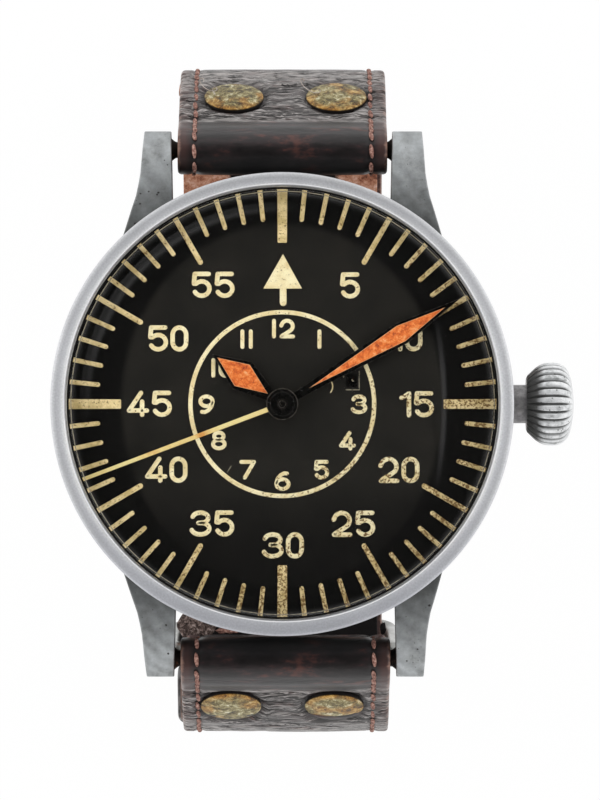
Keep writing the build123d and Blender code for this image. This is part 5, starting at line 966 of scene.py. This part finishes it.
def make_hands():
    """The two lume-filled hands, and the needle with its stepped boss."""
    make_hand("hour_frame", [(0.6, 0.55), (2.0, 0.74), (5.85, 2.0)], 10.2, HOUR_LOW, HOUR_TURN, 1.75, "hours",
              "hour_hand", 1.25)
    make_lume("hour_lume_field", [(5.86, 1.55)], 9.5, 2.1, HOUR_LOW, HOUR_TURN, "hours", "hour_lume")
    make_hand("minute_frame", [(0.6, 0.42), (3.8, 0.56), (16.4, 1.37)], 24.5, MINUTE_LOW, MINUTE_TURN, 1.5,
              "minutes", "minute_hand", 0.85)
    make_lume("minute_lume_field", [(16.4, 1.04)], 22.4, 3.7, MINUTE_LOW, MINUTE_TURN, "minutes", "minute_lume")
    needle = plate("needle", [(0.29, 1.2), (0.22, 25.14), (-0.22, 25.14), (-0.29, 1.2)], SECONDS_LOW,
                   SECONDS_LOW + 0.21, bevel=0.06)
    needle.data.transform(turned_by(SECONDS_TURN))
    finish(needle, "seconds", cream_hand, "cream_hand")
    boss = turned("seconds_boss", [
        (0, 51.77), (1.8, 51.77), (1.9, 51.85), (1.9, 52.0), (1.78, 52.14), (1.45, 52.2), (1.4, 52.24), (0.62, 52.27),
        (0.55, 52.2), (0.45, 52.2), (0.42, 52.42), (0.36, 52.5), (0.22, 52.52), (0.18, 52.42), (0, 52.4)], steps=64)
    finish(boss, "seconds", hand_enamel, "cream_hand", "seconds_hand", angle=25)


# Crown


def make_crown():
    """Big fluted crown: ribs start at its tapered back, run straight and fade on the rounded end."""
    start, ribs, per_rib = 29.25, 30, 14
    profile = [(0.0, 3.1, 0.4, 0.9), (0.12, 3.4, 0.6, 0.9), (0.55, 3.82, 0.85, 0.85), (1.1, 4.33, 1.0, 0.7),
               (1.6, 4.66, 1.0, 0.35), (2.0, 4.84, 1.0, 0.1), (2.5, 4.94, 1.0, 0.0), (3.2, 4.96, 1.0, 0.0),
               (3.8, 4.9, 1.0, 0.0), (4.2, 4.76, 1.0, 0.0), (4.5, 4.57, 0.95, 0.0), (4.78, 4.3, 0.8, 0.0),
               (5.0, 3.98, 0.6, 0.0), (5.2, 3.5, 0.35, 0.05), (5.38, 2.9, 0.1, 0.1), (5.55, 2.0, 0.0, 0.15),
               (5.66, 1.0, 0.0, 0.15)]
    rings, depths = [], []
    for x, radius, share, dark_share in profile:
        ring, row = [], []
        for i in range(ribs * per_rib):
            turn = (i % per_rib) / per_rib
            groove = max(0.0, 1 - abs(turn - 0.5) / 0.24) ** 0.9 * share
            r = radius - 0.42 * groove
            y, z = polar(r, 360 * i / (ribs * per_rib))
            ring.append((start + x, y, STEM_HEIGHT + z))
            row.append(min(1.0, 0.85 * groove + dark_share))
        rings.append(ring)
        depths.append(row)
    obj = skin("fluted_crown", rings, values={"groove": lambda i, j: depths[j][i]})
    return finish(obj, "crown", crown_steel, "crown_steel", "crown", angle=50)


def make_crown_tube():
    """Short tube that the stem runs through."""
    obj = turned("crown_neck", [(2.3, 25.2), (2.3, 29.4), (1.2, 29.4), (1.2, 25.2), (2.3, 25.2)], steps=64, axis="X",
                 centre=(0, 0, STEM_HEIGHT))
    return finish(obj, "case", tube_steel, "steel_inside", "crown_tube")


# Strap


def walk(steps):
    """Points (y, z) down a strap's path: each step is (length, 0) for a run, or (radius, turn) for a bend inwards."""
    y, z, a = BAR_REACH, BAR_HEIGHT, -SLOPE
    points = [(y, z)]
    for size, turn in steps:
        length = size if turn == 0 else size * math.radians(turn)
        count = max(1, round(length / PATH_GAP))
        for _ in range(count):
            part = math.radians(turn) / count
            chord = length / count if turn == 0 else 2 * size * math.sin(part / 2)
            y, z = y + chord * math.cos(a - part / 2), z + chord * math.sin(a - part / 2)
            a -= part
            points.append((y, z))
    return points


def normals(points):
    """Outward normal at each point of a path, to the left of its direction."""
    result = []
    for i in range(len(points)):
        a, b = points[max(0, i - 1)], points[min(len(points) - 1, i + 1)]
        length = math.hypot(b[0] - a[0], b[1] - a[1])
        result.append((-(b[1] - a[1]) / length, (b[0] - a[0]) / length))
    return result


def offset(points, amount):
    """The path that lies this far outside a path."""
    return [(p[0] + n[0] * amount, p[1] + n[1] * amount) for p, n in zip(points, normals(points))]


def resample(points, gap_at):
    """Even out a path: the spacing is a function of the distance along it, and corners are rounded."""
    curve = []
    padded = [points[0]] + points + [points[-1]]
    for p0, p1, p2, p3 in zip(padded, padded[1:], padded[2:], padded[3:]):
        for k in range(8):
            t = k / 8
            curve.append([0.5 * (2 * b + (c - a) * t + (2 * a - 5 * b + 4 * c - d) * t * t
                                 + (3 * b - a - 3 * c + d) * t ** 3) for a, b, c, d in zip(p0, p1, p2, p3)])
    curve.append(list(points[-1]))
    result, place, due = [(tuple(curve[0]), 0.0)], 0.0, gap_at(0.0)
    for a, b in zip(curve, curve[1:]):
        length = math.hypot(b[0] - a[0], b[1] - a[1])
        while length > 0 and place + length >= due:
            t = (due - place) / length
            result.append(((a[0] + (b[0] - a[0]) * t, a[1] + (b[1] - a[1]) * t), due))
            due += gap_at(due)
        place += length
    if place - result[-1][1] > 0.2:
        result.append((tuple(curve[-1]), place))
    return [p for p, _ in result], [s for _, s in result]


def section(width, thick, corner, top_count, low_count):
    """Rounded strap section as (across, height) points, all the way round; the grain side lies above zero."""
    half, points = width / 2 - corner, []
    for k in range(top_count + 1):
        points.append((-half + 2 * half * k / top_count, thick / 2))
    for k in (1, 2):
        dx, dz = polar(corner, 90 - 30 * k)
        points.append((half + dx, thick / 2 - corner + dz))
    points.append((half + corner, thick / 2 - corner))
    points.append((half + corner, -thick / 2 + corner * 0.6))
    points.append((half + corner * 0.6, -thick / 2))
    for k in range(1, low_count):
        points.append((half + corner * 0.6 - 2 * (half + corner * 0.6) * k / low_count, -thick / 2))
    points.append((-half - corner * 0.6, -thick / 2))
    points.append((-half - corner, -thick / 2 + corner * 0.6))
    points.append((-half - corner, thick / 2 - corner))
    for k in (1, 2):
        dx, dz = polar(corner, 180 - 30 * k)
        points.append((-half + dx, thick / 2 - corner + dz))
    return points


def creases(x, s, seed):
    """Height of the leather's crosswise wrinkles, in millimetres; strong past the fold's smooth face."""
    bend = 0.9 * noise.noise(Vector((x * 0.16, s * 0.12, seed + 4)))
    wave = noise.noise(Vector((x * 0.09, s * 0.75 + bend, seed)))
    sharp = 1 - min(1.0, abs(wave) * 5.5)
    small = noise.noise(Vector((x * 0.3, s * 2.2 + bend, seed + 9)))
    field = max(0.0, min(1.0, (s - 4.8) / 1.0)) * max(0.12, min(1.0, (24 - s) / 6))
    return (0.2 * wave - 0.26 * sharp) * field + 0.05 * small * (0.1 + 0.9 * field) - (0.04 if s > 30 else 0.0)


def strip(name, points, places, zero, side, width, thick, corner, dress, shift=0.0):
    """Strap piece swept along a path; dress gives the grain side's extra height, its wear (which also places the
    painted crease shade and crest highlight) and its pinch (where the painted glint lies).
    """
    count_top = 60 if dress else 12
    normal = normals(points)
    rings, marks, wear = [], [], []
    for (y, z), n, s in zip(points, normal, places):
        ring, row, worn_row = [], [], []
        for u, h in section(width, thick, corner, count_top, 12):
            extra, worn, pinch = dress(u, s - zero) if dress and h > 0 else (0.0, 0.0, 0.0)
            ring.append((u + shift, (y + n[0] * (h + extra)) * side, z + n[1] * (h + extra)))
            row.append((u * 0.01, (s - zero) * 0.01))
            worn_row.append((worn, pinch))
        rings.append(ring)
        marks.append(row)
        wear.append(worn_row)
    count = len(rings[0])
    values = {"worn": lambda i, j: wear[j][i][0], "pinch": lambda i, j: wear[j][i][1]} if dress else None
    return skin(name, rings, lambda i, j: marks[j][i % count], values)


def fold_round():
    """Centre line of the leather round a strap bar, as (along the slope, off it), from under it to over it."""
    wrap = [polar(FOLD_RADIUS, a) for a in range(-80, -281, -20)]
    under = [(5.7, -0.8), (4.9, -0.84), (4.0, -0.98), (2.9, -1.32), (1.6, -1.7)]
    return under + wrap + [(a, -o) for a, o in under[::-1]]


def on_slope(along, off):
    """Place (y, z) of a point along the strap's first slope and off it."""
    return (BAR_REACH + along * math.cos(SLOPE) + off * math.sin(SLOPE),
            BAR_HEIGHT - along * math.sin(SLOPE) + off * math.cos(SLOPE))


def strap_path(steps):
    """Centre line of one folded strap end, from the tab's end round the bar and down the path."""
    path = walk(steps)
    under = offset(path, -LEATHER / 2)
    over = offset(path, LEATHER / 2)
    first = next(i for i in range(len(path)) if math.dist(path[i], path[0]) > 7.2)
    last = round(TAB / PATH_GAP)
    return under[first:last + 1][::-1] + [on_slope(a, o) for a, o in fold_round()] + over[first:]


def pushed(points, push):
    """Shift the upper part of a strap's path outwards."""
    return [(y + push * max(0.0, min(1.0, (z - 16) / 18)), z) for y, z in points]


def make_strap(side, name, steps, seed, shift, push, ending, rivets):
    """Outer leather: one strip from its tab, round the bar and down the outside."""
    points, places = resample(pushed(strap_path(steps) + ending, push),
                              lambda s: 0.3 if 6 < s < 46 else 1.3)
    y, z = on_slope(0, FOLD_RADIUS)
    bar = (y + push, z)
    bar_place = min(zip(points, places), key=lambda pair: math.dist(pair[0], bar))[1]

    def dress(u, s):
        groove = -0.2 * math.exp(-((abs(u) - 10.6) / 0.42) ** 2)
        padding = 0.1 * (1 - (u / 12.5) ** 4) * max(0.0, min(1.0, (34 - s) / 8))
        ridge = 0.5 * noise.noise(Vector((u * 0.25, seed, 3.0)))
        pinch = math.exp(-((s - 4.9 - ridge) / 0.5) ** 2)
        dip = -0.14 * math.exp(-((s - 5.8 - ridge) / 0.5) ** 2)
        worn = 0.0 if s < 4 else min(1.0, (s - 4) / 1.4) * max(0.16, min(1.0, (22 - s) / 5))
        for centre in rivets:
            reach = math.hypot(u + shift - centre[0], s - centre[1])
            dip += 0.14 * math.exp(-((reach - 4.7) / 0.5) ** 2) - 0.3 * math.exp(-((reach - 3.8) / 0.4) ** 2)
            worn *= min(1.0, max(0.0, (reach - 3.7) / 0.8))
        return groove + padding + dip + creases(u, s, seed), worn, pinch
    obj = strip(name, points, places, bar_place, side, STRAP_WIDTH, LEATHER, 0.42, dress, shift)
    return obj, points, places, bar_place


def strap_punches():
    """Round holes up the tail, and the long one that the buckle's tongue stands in."""
    made = []
    for y in (-24.48, -17.48, -10.48, -3.48):
        clear()
        bpy.ops.mesh.primitive_cylinder_add(vertices=24, radius=1.1 * MM, depth=9 * MM,
                                            location=(0, y * MM, 2.4 * MM))
        take(bpy.context.object)
        bpy.ops.object.transform_apply(location=True, rotation=True, scale=True)
        made.append(bpy.context.object)
    angle = math.radians(34.4)
    outline = [(1.1 * math.cos(math.radians(a)), 2.9 + 1.1 * math.sin(math.radians(a))) for a in range(0, 181, 20)]
    outline += [(-x, -y) for x, y in outline]
    slot = plate("tongue_punch", outline, -4.5, 4.5)
    place = (0, -(LOWER_CENTRE[0] + TAIL_RADIUS * math.sin(angle)) * MM,
             (LOWER_CENTRE[1] - TAIL_RADIUS * math.cos(angle)) * MM)
    slot.data.transform(Matrix.Translation(place) @ Matrix.Rotation(-angle, 4, "X"))
    return made + [slot]


LONG_STEPS = [(12.0, 0), (21.5, 122), (35.425, 0), (23.95, 66)]
SHORT_STEPS = [(10.5, 0), (18.0, 32), (0.678, 0), (INNER_RADIUS, 44.5)]
PUSH_6 = 0.45


def make_straps():
    """Both strap ends; the long one is punched, and the short one turns round the buckle's bar."""
    long_strap, long_points, long_places, long_zero = make_strap(
        1, "strap_leather_12", LONG_STEPS, 3.1, 0.0, 0.0, [], [(x, 11.1) for x, _, _ in RIVETS_12])
    punched(long_strap, strap_punches())
    finish(long_strap, "case", strap_leather, "strap_leather", "strap_12", angle=40)

    heel_radius = 1.85
    turn_in = [(HEEL[0] + heel_radius * math.cos(a), HEEL[1] + heel_radius * math.sin(a))
               for a in [math.radians(45.5 - 90 - k) for k in range(15, 181, 20)]]
    end = [(LOWER_CENTRE[0] + (INNER_RADIUS - LEATHER / 2) * math.sin(math.radians(b)),
            LOWER_CENTRE[1] - (INNER_RADIUS - LEATHER / 2) * math.cos(math.radians(b))) for b in (51, 56, 61, 66)]
    short_strap, short_points, short_places, short_zero = make_strap(
        -1, "strap_leather_6", SHORT_STEPS, 7.7, 0.36, PUSH_6, turn_in + end, [(x, 9.0) for x, _, _ in RIVETS_6])
    finish(short_strap, "case", strap_leather, "strap_leather", "strap_6", angle=40)
    return (long_points, long_places, long_zero), (short_points, short_places, short_zero)


def make_lining(side, name, steps, node_name, holes):
    """Tan lining glued inside the strap, stopping under the folded tab."""
    path = walk(steps)
    inner = offset(path, -LINING / 2)[11:]
    points, places = resample(inner, lambda s: 1.2)
    obj = strip(name, points, places, 0, side, 24.75, LINING, 0.2, None, -0.4 if side > 0 else 0.2)
    if holes:
        punched(obj, strap_punches())
    return finish(obj, "case", tan_leather, "tan_leather", node_name, angle=40)


def make_stitches(name, side, points, places, zero, shift, spread, last):
    """Waxed stitches down both edges and round the fold, each one sunk at its ends."""
    clear()
    bpy.ops.mesh.primitive_uv_sphere_add(segments=10, ring_count=7, radius=0.5 * MM)
    model = bpy.context.object
    model.data.transform(Matrix.Diagonal((0.56, 1.85, 0.5, 1)))
    normal = normals(points)
    made, s = [], -5.3
    while s < last:
        i = min(range(len(places)), key=lambda k: abs(places[k] - zero - s))
        (y, z), n = points[i], normal[i]
        slope = math.atan2(n[1], n[0]) - math.pi / 2
        for edge in (-1, 1):
            lift = LEATHER / 2 - 0.03
            wander = 0.12 * noise.noise(Vector((s * 0.4, edge, 5.0)))
            spot = Vector((edge * spread + shift + wander, (y + n[0] * lift) * side, z + n[1] * lift)) * MM
            tilt = 0.1 + 0.25 * noise.noise(Vector((s, edge, 2.0)))
            matrix = (Matrix.Translation(spot) @ Matrix.Rotation(slope * side, 4, "X")
                      @ Matrix.Rotation(tilt, 4, "Z"))
            made.append(copy_of(model, matrix))
        s += 1.5 if -4.5 < s < 2.6 else 2.06
    bpy.data.objects.remove(model)
    obj = joined(name, made)
    return finish(obj, "case", thread, "strap_leather", angle=60)


def make_rivet(name, size):
    """Low domed rivet; its attributes mark where the brass is rubbed bright and the ring round its foot that is
    painted dark as shade.
    """
    profile = [(0, -0.4), (3.6, -0.4), (3.64, 0.0), (3.58, 0.12), (3.4, 0.2), (3.1, 0.27), (2.7, 0.34), (2.2, 0.41),
               (1.6, 0.46), (0.8, 0.5), (0, 0.51)]
    obj = turned(name, [(r * size, h) for r, h in profile], steps=72)
    rim = obj.data.attributes.new("rim", "FLOAT", "POINT")
    foot = obj.data.attributes.new("foot", "FLOAT", "POINT")
    for v in obj.data.vertices:
        reach = math.hypot(v.co.x, v.co.y) / MM / size
        side = -v.co.y / MM / 3.6
        wave = noise.noise(v.co / MM * 0.6)
        rim.data[v.index].value = max(0.0, min(1.0, (reach - 2.7) * 1.6)) * max(0.0, min(1.0, 0.25 + side + wave))
        foot.data[v.index].value = 1.0 if reach > 3.59 else 0.0
    return obj


def make_rivets(side, node_name, along, push, rivets):
    """Both rivets of a strap end, each (place, size, extra tilt), with its washer inside the fold."""
    made = []
    for x, size, tilt in rivets:
        rivet = make_rivet("rivet", size)
        y, z = on_slope(along, LEATHER + 0.02)
        rivet.data.transform(Matrix.Translation(Vector((x, y + push, z)) * MM)
                             @ Matrix.Rotation(-SLOPE - math.radians(tilt), 4, "X"))
        made.append(rivet)
        inner = turned("rivet_washer", [(0, 0), (1.9, 0), (1.95, -0.1), (1.8, -0.28), (0.9, -0.3), (0, -0.25)],
                       steps=40)
        y, z = on_slope(along, -LEATHER)
        inner.data.transform(Matrix.Translation(Vector((x, y + push, z)) * MM) @ Matrix.Rotation(-SLOPE, 4, "X"))
        made.append(inner)
    obj = joined("rivet_heads_" + node_name[-2:].strip("_"), made)
    if side < 0:
        obj.data.transform(Matrix.Diagonal((1, -1, 1, 1)))
        obj.data.flip_normals()
    return finish(obj, "case", rivet_brass, "rivet_brass", node_name, angle=35)


# Torn leather behind the head at six


def scrap(name, low, high, height, thick, seed):
    """Ragged scrap between two corners (x, y), its height given at its middle and rising outwards."""
    rings = []
    for j in range(29):
        x = low[0] + (high[0] - low[0]) * j / 28
        taper = math.sin(math.pi * min(1.0, 0.12 + 0.88 * min(j, 28 - j) / 6) / 2) if min(j, 28 - j) < 6 else 1.0
        middle, half = (low[1] + high[1]) / 2, (high[1] - low[1]) / 2 * taper
        ring = []
        for k in range(28):
            a, b = polar(1, 360 * k / 28)
            rough = 1 + 0.4 * noise.noise(Vector((x * 0.9, a * 2, b * 2 + seed))) + 0.25 * noise.noise(
                Vector((x * 2.6, a * 5, b * 5 + seed)))
            y = middle + half * a * rough
            ring.append((x + 0.15 * noise.noise(Vector((a, b, x + seed))), y,
                         height - (y - middle) * 0.55 + thick * b * rough))
        rings.append(ring)
    return skin(name, rings)


def make_scraps():
    """Frayed end of the lining at the left, pale flesh side next to it, and a tan corner at the right."""
    torn = scrap("torn_lining_edge", (-13.5, -29.4), (-8.5, -26.7), 9.3, 0.55, 2.0)
    finish(torn, "case", frayed_leather, "strap_leather", angle=60)
    pale = scrap("pale_flesh_edge", (-8.6, -29.1), (-5.5, -28.5), 9.4, 0.25, 5.0)
    finish(pale, "case", thread, "strap_leather", angle=60)
    tan = scrap("tan_corner", (12.3, -29.2), (13.0, -27.8), 9.6, 0.3, 8.0)
    finish(tan, "case", tan_leather, "tan_leather", angle=60)


def make_loose_threads():
    """Curled ends of pale thread left of both rivets at twelve."""
    for name, x0, turns in (("thread_curl_left", -10.3, 1.6), ("thread_curl_right", 1.9, 1.3)):
        points = []
        for k in range(40):
            t = k / 39
            a = turns * 2 * math.pi * t
            along = 14.2 - 3.6 * t + 0.9 * math.sin(a)
            y, z = on_slope(along, LEATHER + 0.45 + 0.5 * math.sin(a * 0.5) ** 2)
            points.append((x0 + 2.6 * t + 0.6 * math.cos(a), y, z))
        finish(swept_rod(name, points, 0.045), "case", pale_thread, "strap_leather", angle=60)


# Buckle and keeper: the buckle's heel and front bars lie at these places (y, z) behind the six o'clock strap
HEEL_AT, FRONT_AT = Vector((-HEEL[0], HEEL[1])), Vector((-FRONT_BAR[0], FRONT_BAR[1]))
BUCKLE_WAY = (FRONT_AT - HEEL_AT).normalized()


def swept_rod(name, points, radius):
    """Round rod along a path of points."""
    curve = bpy.data.curves.new(name, "CURVE")
    curve.dimensions, curve.bevel_depth, curve.bevel_resolution = "3D", radius * MM, 5
    curve.use_fill_caps = True
    spline = curve.splines.new("POLY")
    spline.points.add(len(points) - 1)
    for point, spot in zip(spline.points, points):
        point.co = (*[c * MM for c in spot], 1)
    return meshed(name, curve)


def make_buckle():
    """Bent wire buckle with an eye at each end, and the bar that it turns on."""
    x = 13.65
    half = [(-x, *HEEL_AT)]
    for k in range(9):
        a = math.radians(90 * k / 8)
        half.append((-x + 2 * (1 - math.cos(a)), *(FRONT_AT - BUCKLE_WAY * 2 * (1 - math.sin(a)))))
    route = half + [(-px, py, pz) for px, py, pz in half[::-1]]
    frame_rod = swept_rod("buckle_rod", route, 1.0)
    eyes = []
    for side in (-1, 1):
        eyes.append(turned("buckle_eye", [(0.95, -1.0), (1.45, -1.0), (1.6, -0.8), (1.6, 0.8), (1.45, 1.0),
                                          (0.95, 1.0), (0.95, -1.0)],
                           steps=40, axis="X", centre=(side * x, *HEEL_AT)))
    obj = joined("buckle_loop", [frame_rod] + eyes)
    finish(obj, "buckle", buckle_nickel, "buckle_metal", "buckle_frame", angle=40)
    bar = turned("buckle_pin", [(0, -14.65), (0.8, -14.65), (0.9, -14.5), (0.9, 14.5), (0.8, 14.65), (0, 14.65)],
                 steps=32, axis="X", centre=(0, *HEEL_AT))
    finish(bar, "case", buckle_nickel, "buckle_metal", "buckle_bar")


def make_tongue():
    """Flat tongue: a loop round the heel bar and a blade that narrows to a rounded tip."""
    def below(way):
        """The direction square to this one that points down."""
        across = Vector((way.y, -way.x))
        return -across if across.y > 0 else across
    start = HEEL_AT + below(BUCKLE_WAY) * 1.3
    end = FRONT_AT + below(BUCKLE_WAY) * 0.6 + BUCKLE_WAY * 0.95
    face = below((end - start).normalized())
    rings = []
    for place, half, thick in ((0, 0.88, 0.4), (0.1, 0.9, 0.4), (0.7, 0.88, 0.4), (0.9, 0.84, 0.38),
                               (0.97, 0.66, 0.32), (1.0, 0.4, 0.2)):
        centre = start + (end - start) * place
        ring = []
        for k in range(20):
            cx, cz = polar(1, 18 * k)
            sx = half * math.copysign(abs(cx) ** 0.4, cx)
            sz = thick * math.copysign(abs(cz) ** 0.4, cz)
            spot = centre + face * sz
            ring.append((sx, spot.x, spot.y))
        rings.append(ring)
    blade = skin("tongue_blade", rings)
    loop = turned("tongue_loop", [(0.95, -0.85), (1.6, -0.9), (1.7, -0.75), (1.7, 0.75), (1.6, 0.9), (0.95, 0.85),
                                  (0.95, -0.85)], steps=40, axis="X", centre=(0, *HEEL_AT))
    obj = joined("buckle_prong", [loop, blade])
    return finish(obj, "tongue", buckle_nickel, "buckle_metal", "buckle_tongue", angle=40)


def make_keeper():
    """Sewn leather loop round both strap layers, with rounded edges."""
    middle = math.radians(58.5)
    out = Vector((-math.sin(middle), -math.cos(middle)))
    along = Vector((-math.cos(middle), math.sin(middle)))
    centre = Vector((-LOWER_CENTRE[0], LOWER_CENTRE[1]))
    low, high, half, corner = 19.25, 26.1, 12.9, 0.9
    path = []
    for cx, cr, start in ((half - corner, high - corner, 0), (-half + corner, high - corner, 90),
                          (-half + corner, low + corner, 180), (half - corner, low + corner, 270)):
        for k in range(6):
            dx, dr = polar(corner, start + 18 * k)
            path.append((cx + dx, cr + dr))
    rings = []
    count = len(path)
    for k in range(count + 1):
        a, b = Vector(path[(k - 1) % count]), Vector(path[(k + 1) % count])
        t = (b - a).normalized()
        n = Vector((t.y, -t.x))
        ring = []
        for step in range(16):
            cu, cv = polar(1, 22.5 * step)
            su = 1.6 * math.copysign(abs(cu) ** 0.35, cu)
            sv = 0.4 * math.copysign(abs(cv) ** 0.5, cv)
            spot = Vector(path[k % count]) + n * sv
            place = centre + out * spot.y + along * su
            ring.append((spot.x, place.x, place.y))
        rings.append(ring)
    obj = skin("strap_keeper", rings, lambda i, j: (0.01 * i, 0.02 * j))
    return finish(obj, "case", strap_leather, "strap_leather", "keeper", angle=50)


make_bezel()
make_crystal()
make_tension_ring()
make_case_back()
make_case_middle()
make_bar(1, "bar_at_12", "strap_bar_12")
make_bar(-1, "bar_at_6", "strap_bar_6")
make_dial()
make_track()
make_markings()
make_hands()
make_crown()
make_crown_tube()
long_line, short_line = make_straps()
make_lining(1, "lining_leather_12", LONG_STEPS, "lining_12", True)
make_lining(-1, "lining_leather_6", SHORT_STEPS[:3] + [(INNER_RADIUS, 23)], "lining_6", False)
make_stitches("stitches_12", 1, *long_line, 0.05, 10.61, 50)
make_stitches("stitches_6", -1, *short_line, 0.35, 10.62, 28)
make_rivets(1, "rivets_12", 10.9, 0.0, RIVETS_12)
make_rivets(-1, "rivets_6", 8.8, PUSH_6, RIVETS_6)
make_scraps()
make_loose_threads()
make_buckle()
make_tongue()
make_keeper()


# Floor, light and camera


def make_floor():
    """White paper that camera and reflections see as white, and that still takes the object's shadow."""
    clear()
    bpy.ops.mesh.primitive_plane_add(size=4, location=(0, 0, 0))
    floor = bpy.context.object
    floor.name = "floor"
    mat = material("white_paper_sweep")
    path = node(mat, "ShaderNodeLightPath")
    seen = path.outputs["Is Camera Ray"]
    for ray in ("Is Glossy Ray", "Is Transmission Ray"):
        seen = node(mat, "ShaderNodeMath", {0: seen, 1: path.outputs[ray]}, operation="MAXIMUM")
    share = node(mat, "ShaderNodeMath", {0: seen, 1: 0.98}, operation="MULTIPLY")
    matt = node(mat, "ShaderNodeBsdfDiffuse", {"Color": linear("#FFFFFF")})
    glow = node(mat, "ShaderNodeEmission", {"Color": linear("#FFFFFF"), "Strength": 1.0})
    both = node(mat, "ShaderNodeMixShader", {"Fac": share, 1: matt, 2: glow})
    node(mat, "ShaderNodeOutputMaterial", {"Surface": both})
    floor.data.materials.append(mat)


def make_world():
    """White room: bright towards the horizon, dark flags overhead, a grey zenith and two faint strips of light."""
    world = bpy.data.worlds.new("studio")
    bpy.context.scene.world = world
    world.use_nodes = True
    world.node_tree.nodes.clear()
    way = node(world, "ShaderNodeTexCoord").outputs["Generated"]
    height = node(world, "ShaderNodeSeparateXYZ", {"Vector": way})
    seen = node(world, "ShaderNodeValToRGB", {"Fac": height.outputs["Z"]}, stops=[
        (0.0, "#FFFFFF"), (0.55, "#FFFFFF"), (0.7, "#6A6A6A"), (0.78, "#121212"), (0.925, "#0C0C0C"),
        (0.948, "#1E1D1B"), (1.0, "#201F1C")])
    # An arc of light at the crystal's upper left and a thin strip at its right
    ring = node(world, "ShaderNodeValToRGB", {"Fac": height.outputs["Z"]}, stops=[
        (0.866, "#000000"), (0.873, "#5A5A5A"), (0.882, "#B8B8B8"), (0.889, "#000000")])
    away = node(world, "ShaderNodeVectorMath", {0: way, 1: (-0.707, 0.707, 0)}, operation="DOT_PRODUCT")
    corner = node(world, "ShaderNodeMapRange", {"Value": away.outputs["Value"], "From Min": 0.3, "From Max": 0.44})
    arc_glow = node(world, "ShaderNodeMixRGB", {"Fac": corner, "Color1": (0, 0, 0, 1), "Color2": ring})
    off = node(world, "ShaderNodeMath", {0: height.outputs["X"], 1: -0.348})
    off = node(world, "ShaderNodeMath", {0: off}, operation="ABSOLUTE")
    thin = node(world, "ShaderNodeMapRange", {"Value": off, "From Min": 0.002, "From Max": 0.012, "To Min": 0.42,
                                              "To Max": 0.0})
    tall = node(world, "ShaderNodeMath", {0: height.outputs["Y"]}, operation="ABSOLUTE")
    tall = node(world, "ShaderNodeMapRange", {"Value": tall, "From Min": 0.08, "From Max": 0.2, "To Min": 1.0,
                                              "To Max": 0.0})
    strip_glow = node(world, "ShaderNodeMath", {0: thin, 1: tall}, operation="MULTIPLY")
    for glow in (arc_glow, strip_glow):
        seen = node(world, "ShaderNodeMixRGB", {"Fac": 1.0, "Color1": seen, "Color2": glow}, blend_type="ADD")
    path = node(world, "ShaderNodeLightPath")
    gloss = node(world, "ShaderNodeBackground", {"Color": seen, "Strength": 1.0})
    fill = node(world, "ShaderNodeBackground", {"Color": linear("#FFFFFF"), "Strength": 0.75})
    white = node(world, "ShaderNodeBackground", {"Color": linear("#FFFFFF"), "Strength": 1.0})
    shiny = node(world, "ShaderNodeMixShader", {"Fac": path.outputs["Is Glossy Ray"], 1: fill, 2: gloss})
    whole = node(world, "ShaderNodeMixShader", {"Fac": path.outputs["Is Camera Ray"], 1: shiny, 2: white})
    node(world, "ShaderNodeOutputWorld", {"Surface": whole})


def softbox(name, place, size, power):
    """Wide soft lamp that points at the watch and isn't mirrored in it."""
    light = bpy.data.lights.new(name, "AREA")
    light.shape, light.size, light.size_y, light.energy = "RECTANGLE", size[0], size[1], power
    obj = bpy.data.objects.new(name, light)
    bpy.context.scene.collection.objects.link(obj)
    obj.location = place
    obj.visible_glossy = False
    aim = Vector((0, 0, 0.045)) - Vector(place)
    obj.rotation_euler = aim.to_track_quat("-Z", "Y").to_euler()


make_floor()
make_world()
softbox("softbox_left", (-0.62, 0.12, 0.55), (0.3, 0.6), 1.5)
softbox("softbox_right", (0.62, 0.05, 0.5), (0.3, 0.6), 1.2)
softbox("softbox_top", (0.0, 0.65, 0.6), (0.6, 0.25), 0.7)

camera_data = bpy.data.cameras.new("camera")
camera_data.lens, camera_data.sensor_width, camera_data.clip_start = 237.5, 36, 0.01
camera = bpy.data.objects.new("camera", camera_data)
camera.location = (CAMERA_AIM[0] * MM, CAMERA_AIM[1] * MM, (BEZEL_TOP + CAMERA_DISTANCE) * MM)
bpy.context.scene.collection.objects.link(camera)
bpy.context.scene.camera = camera
bpy.context.scene.view_settings.view_transform = "Standard"
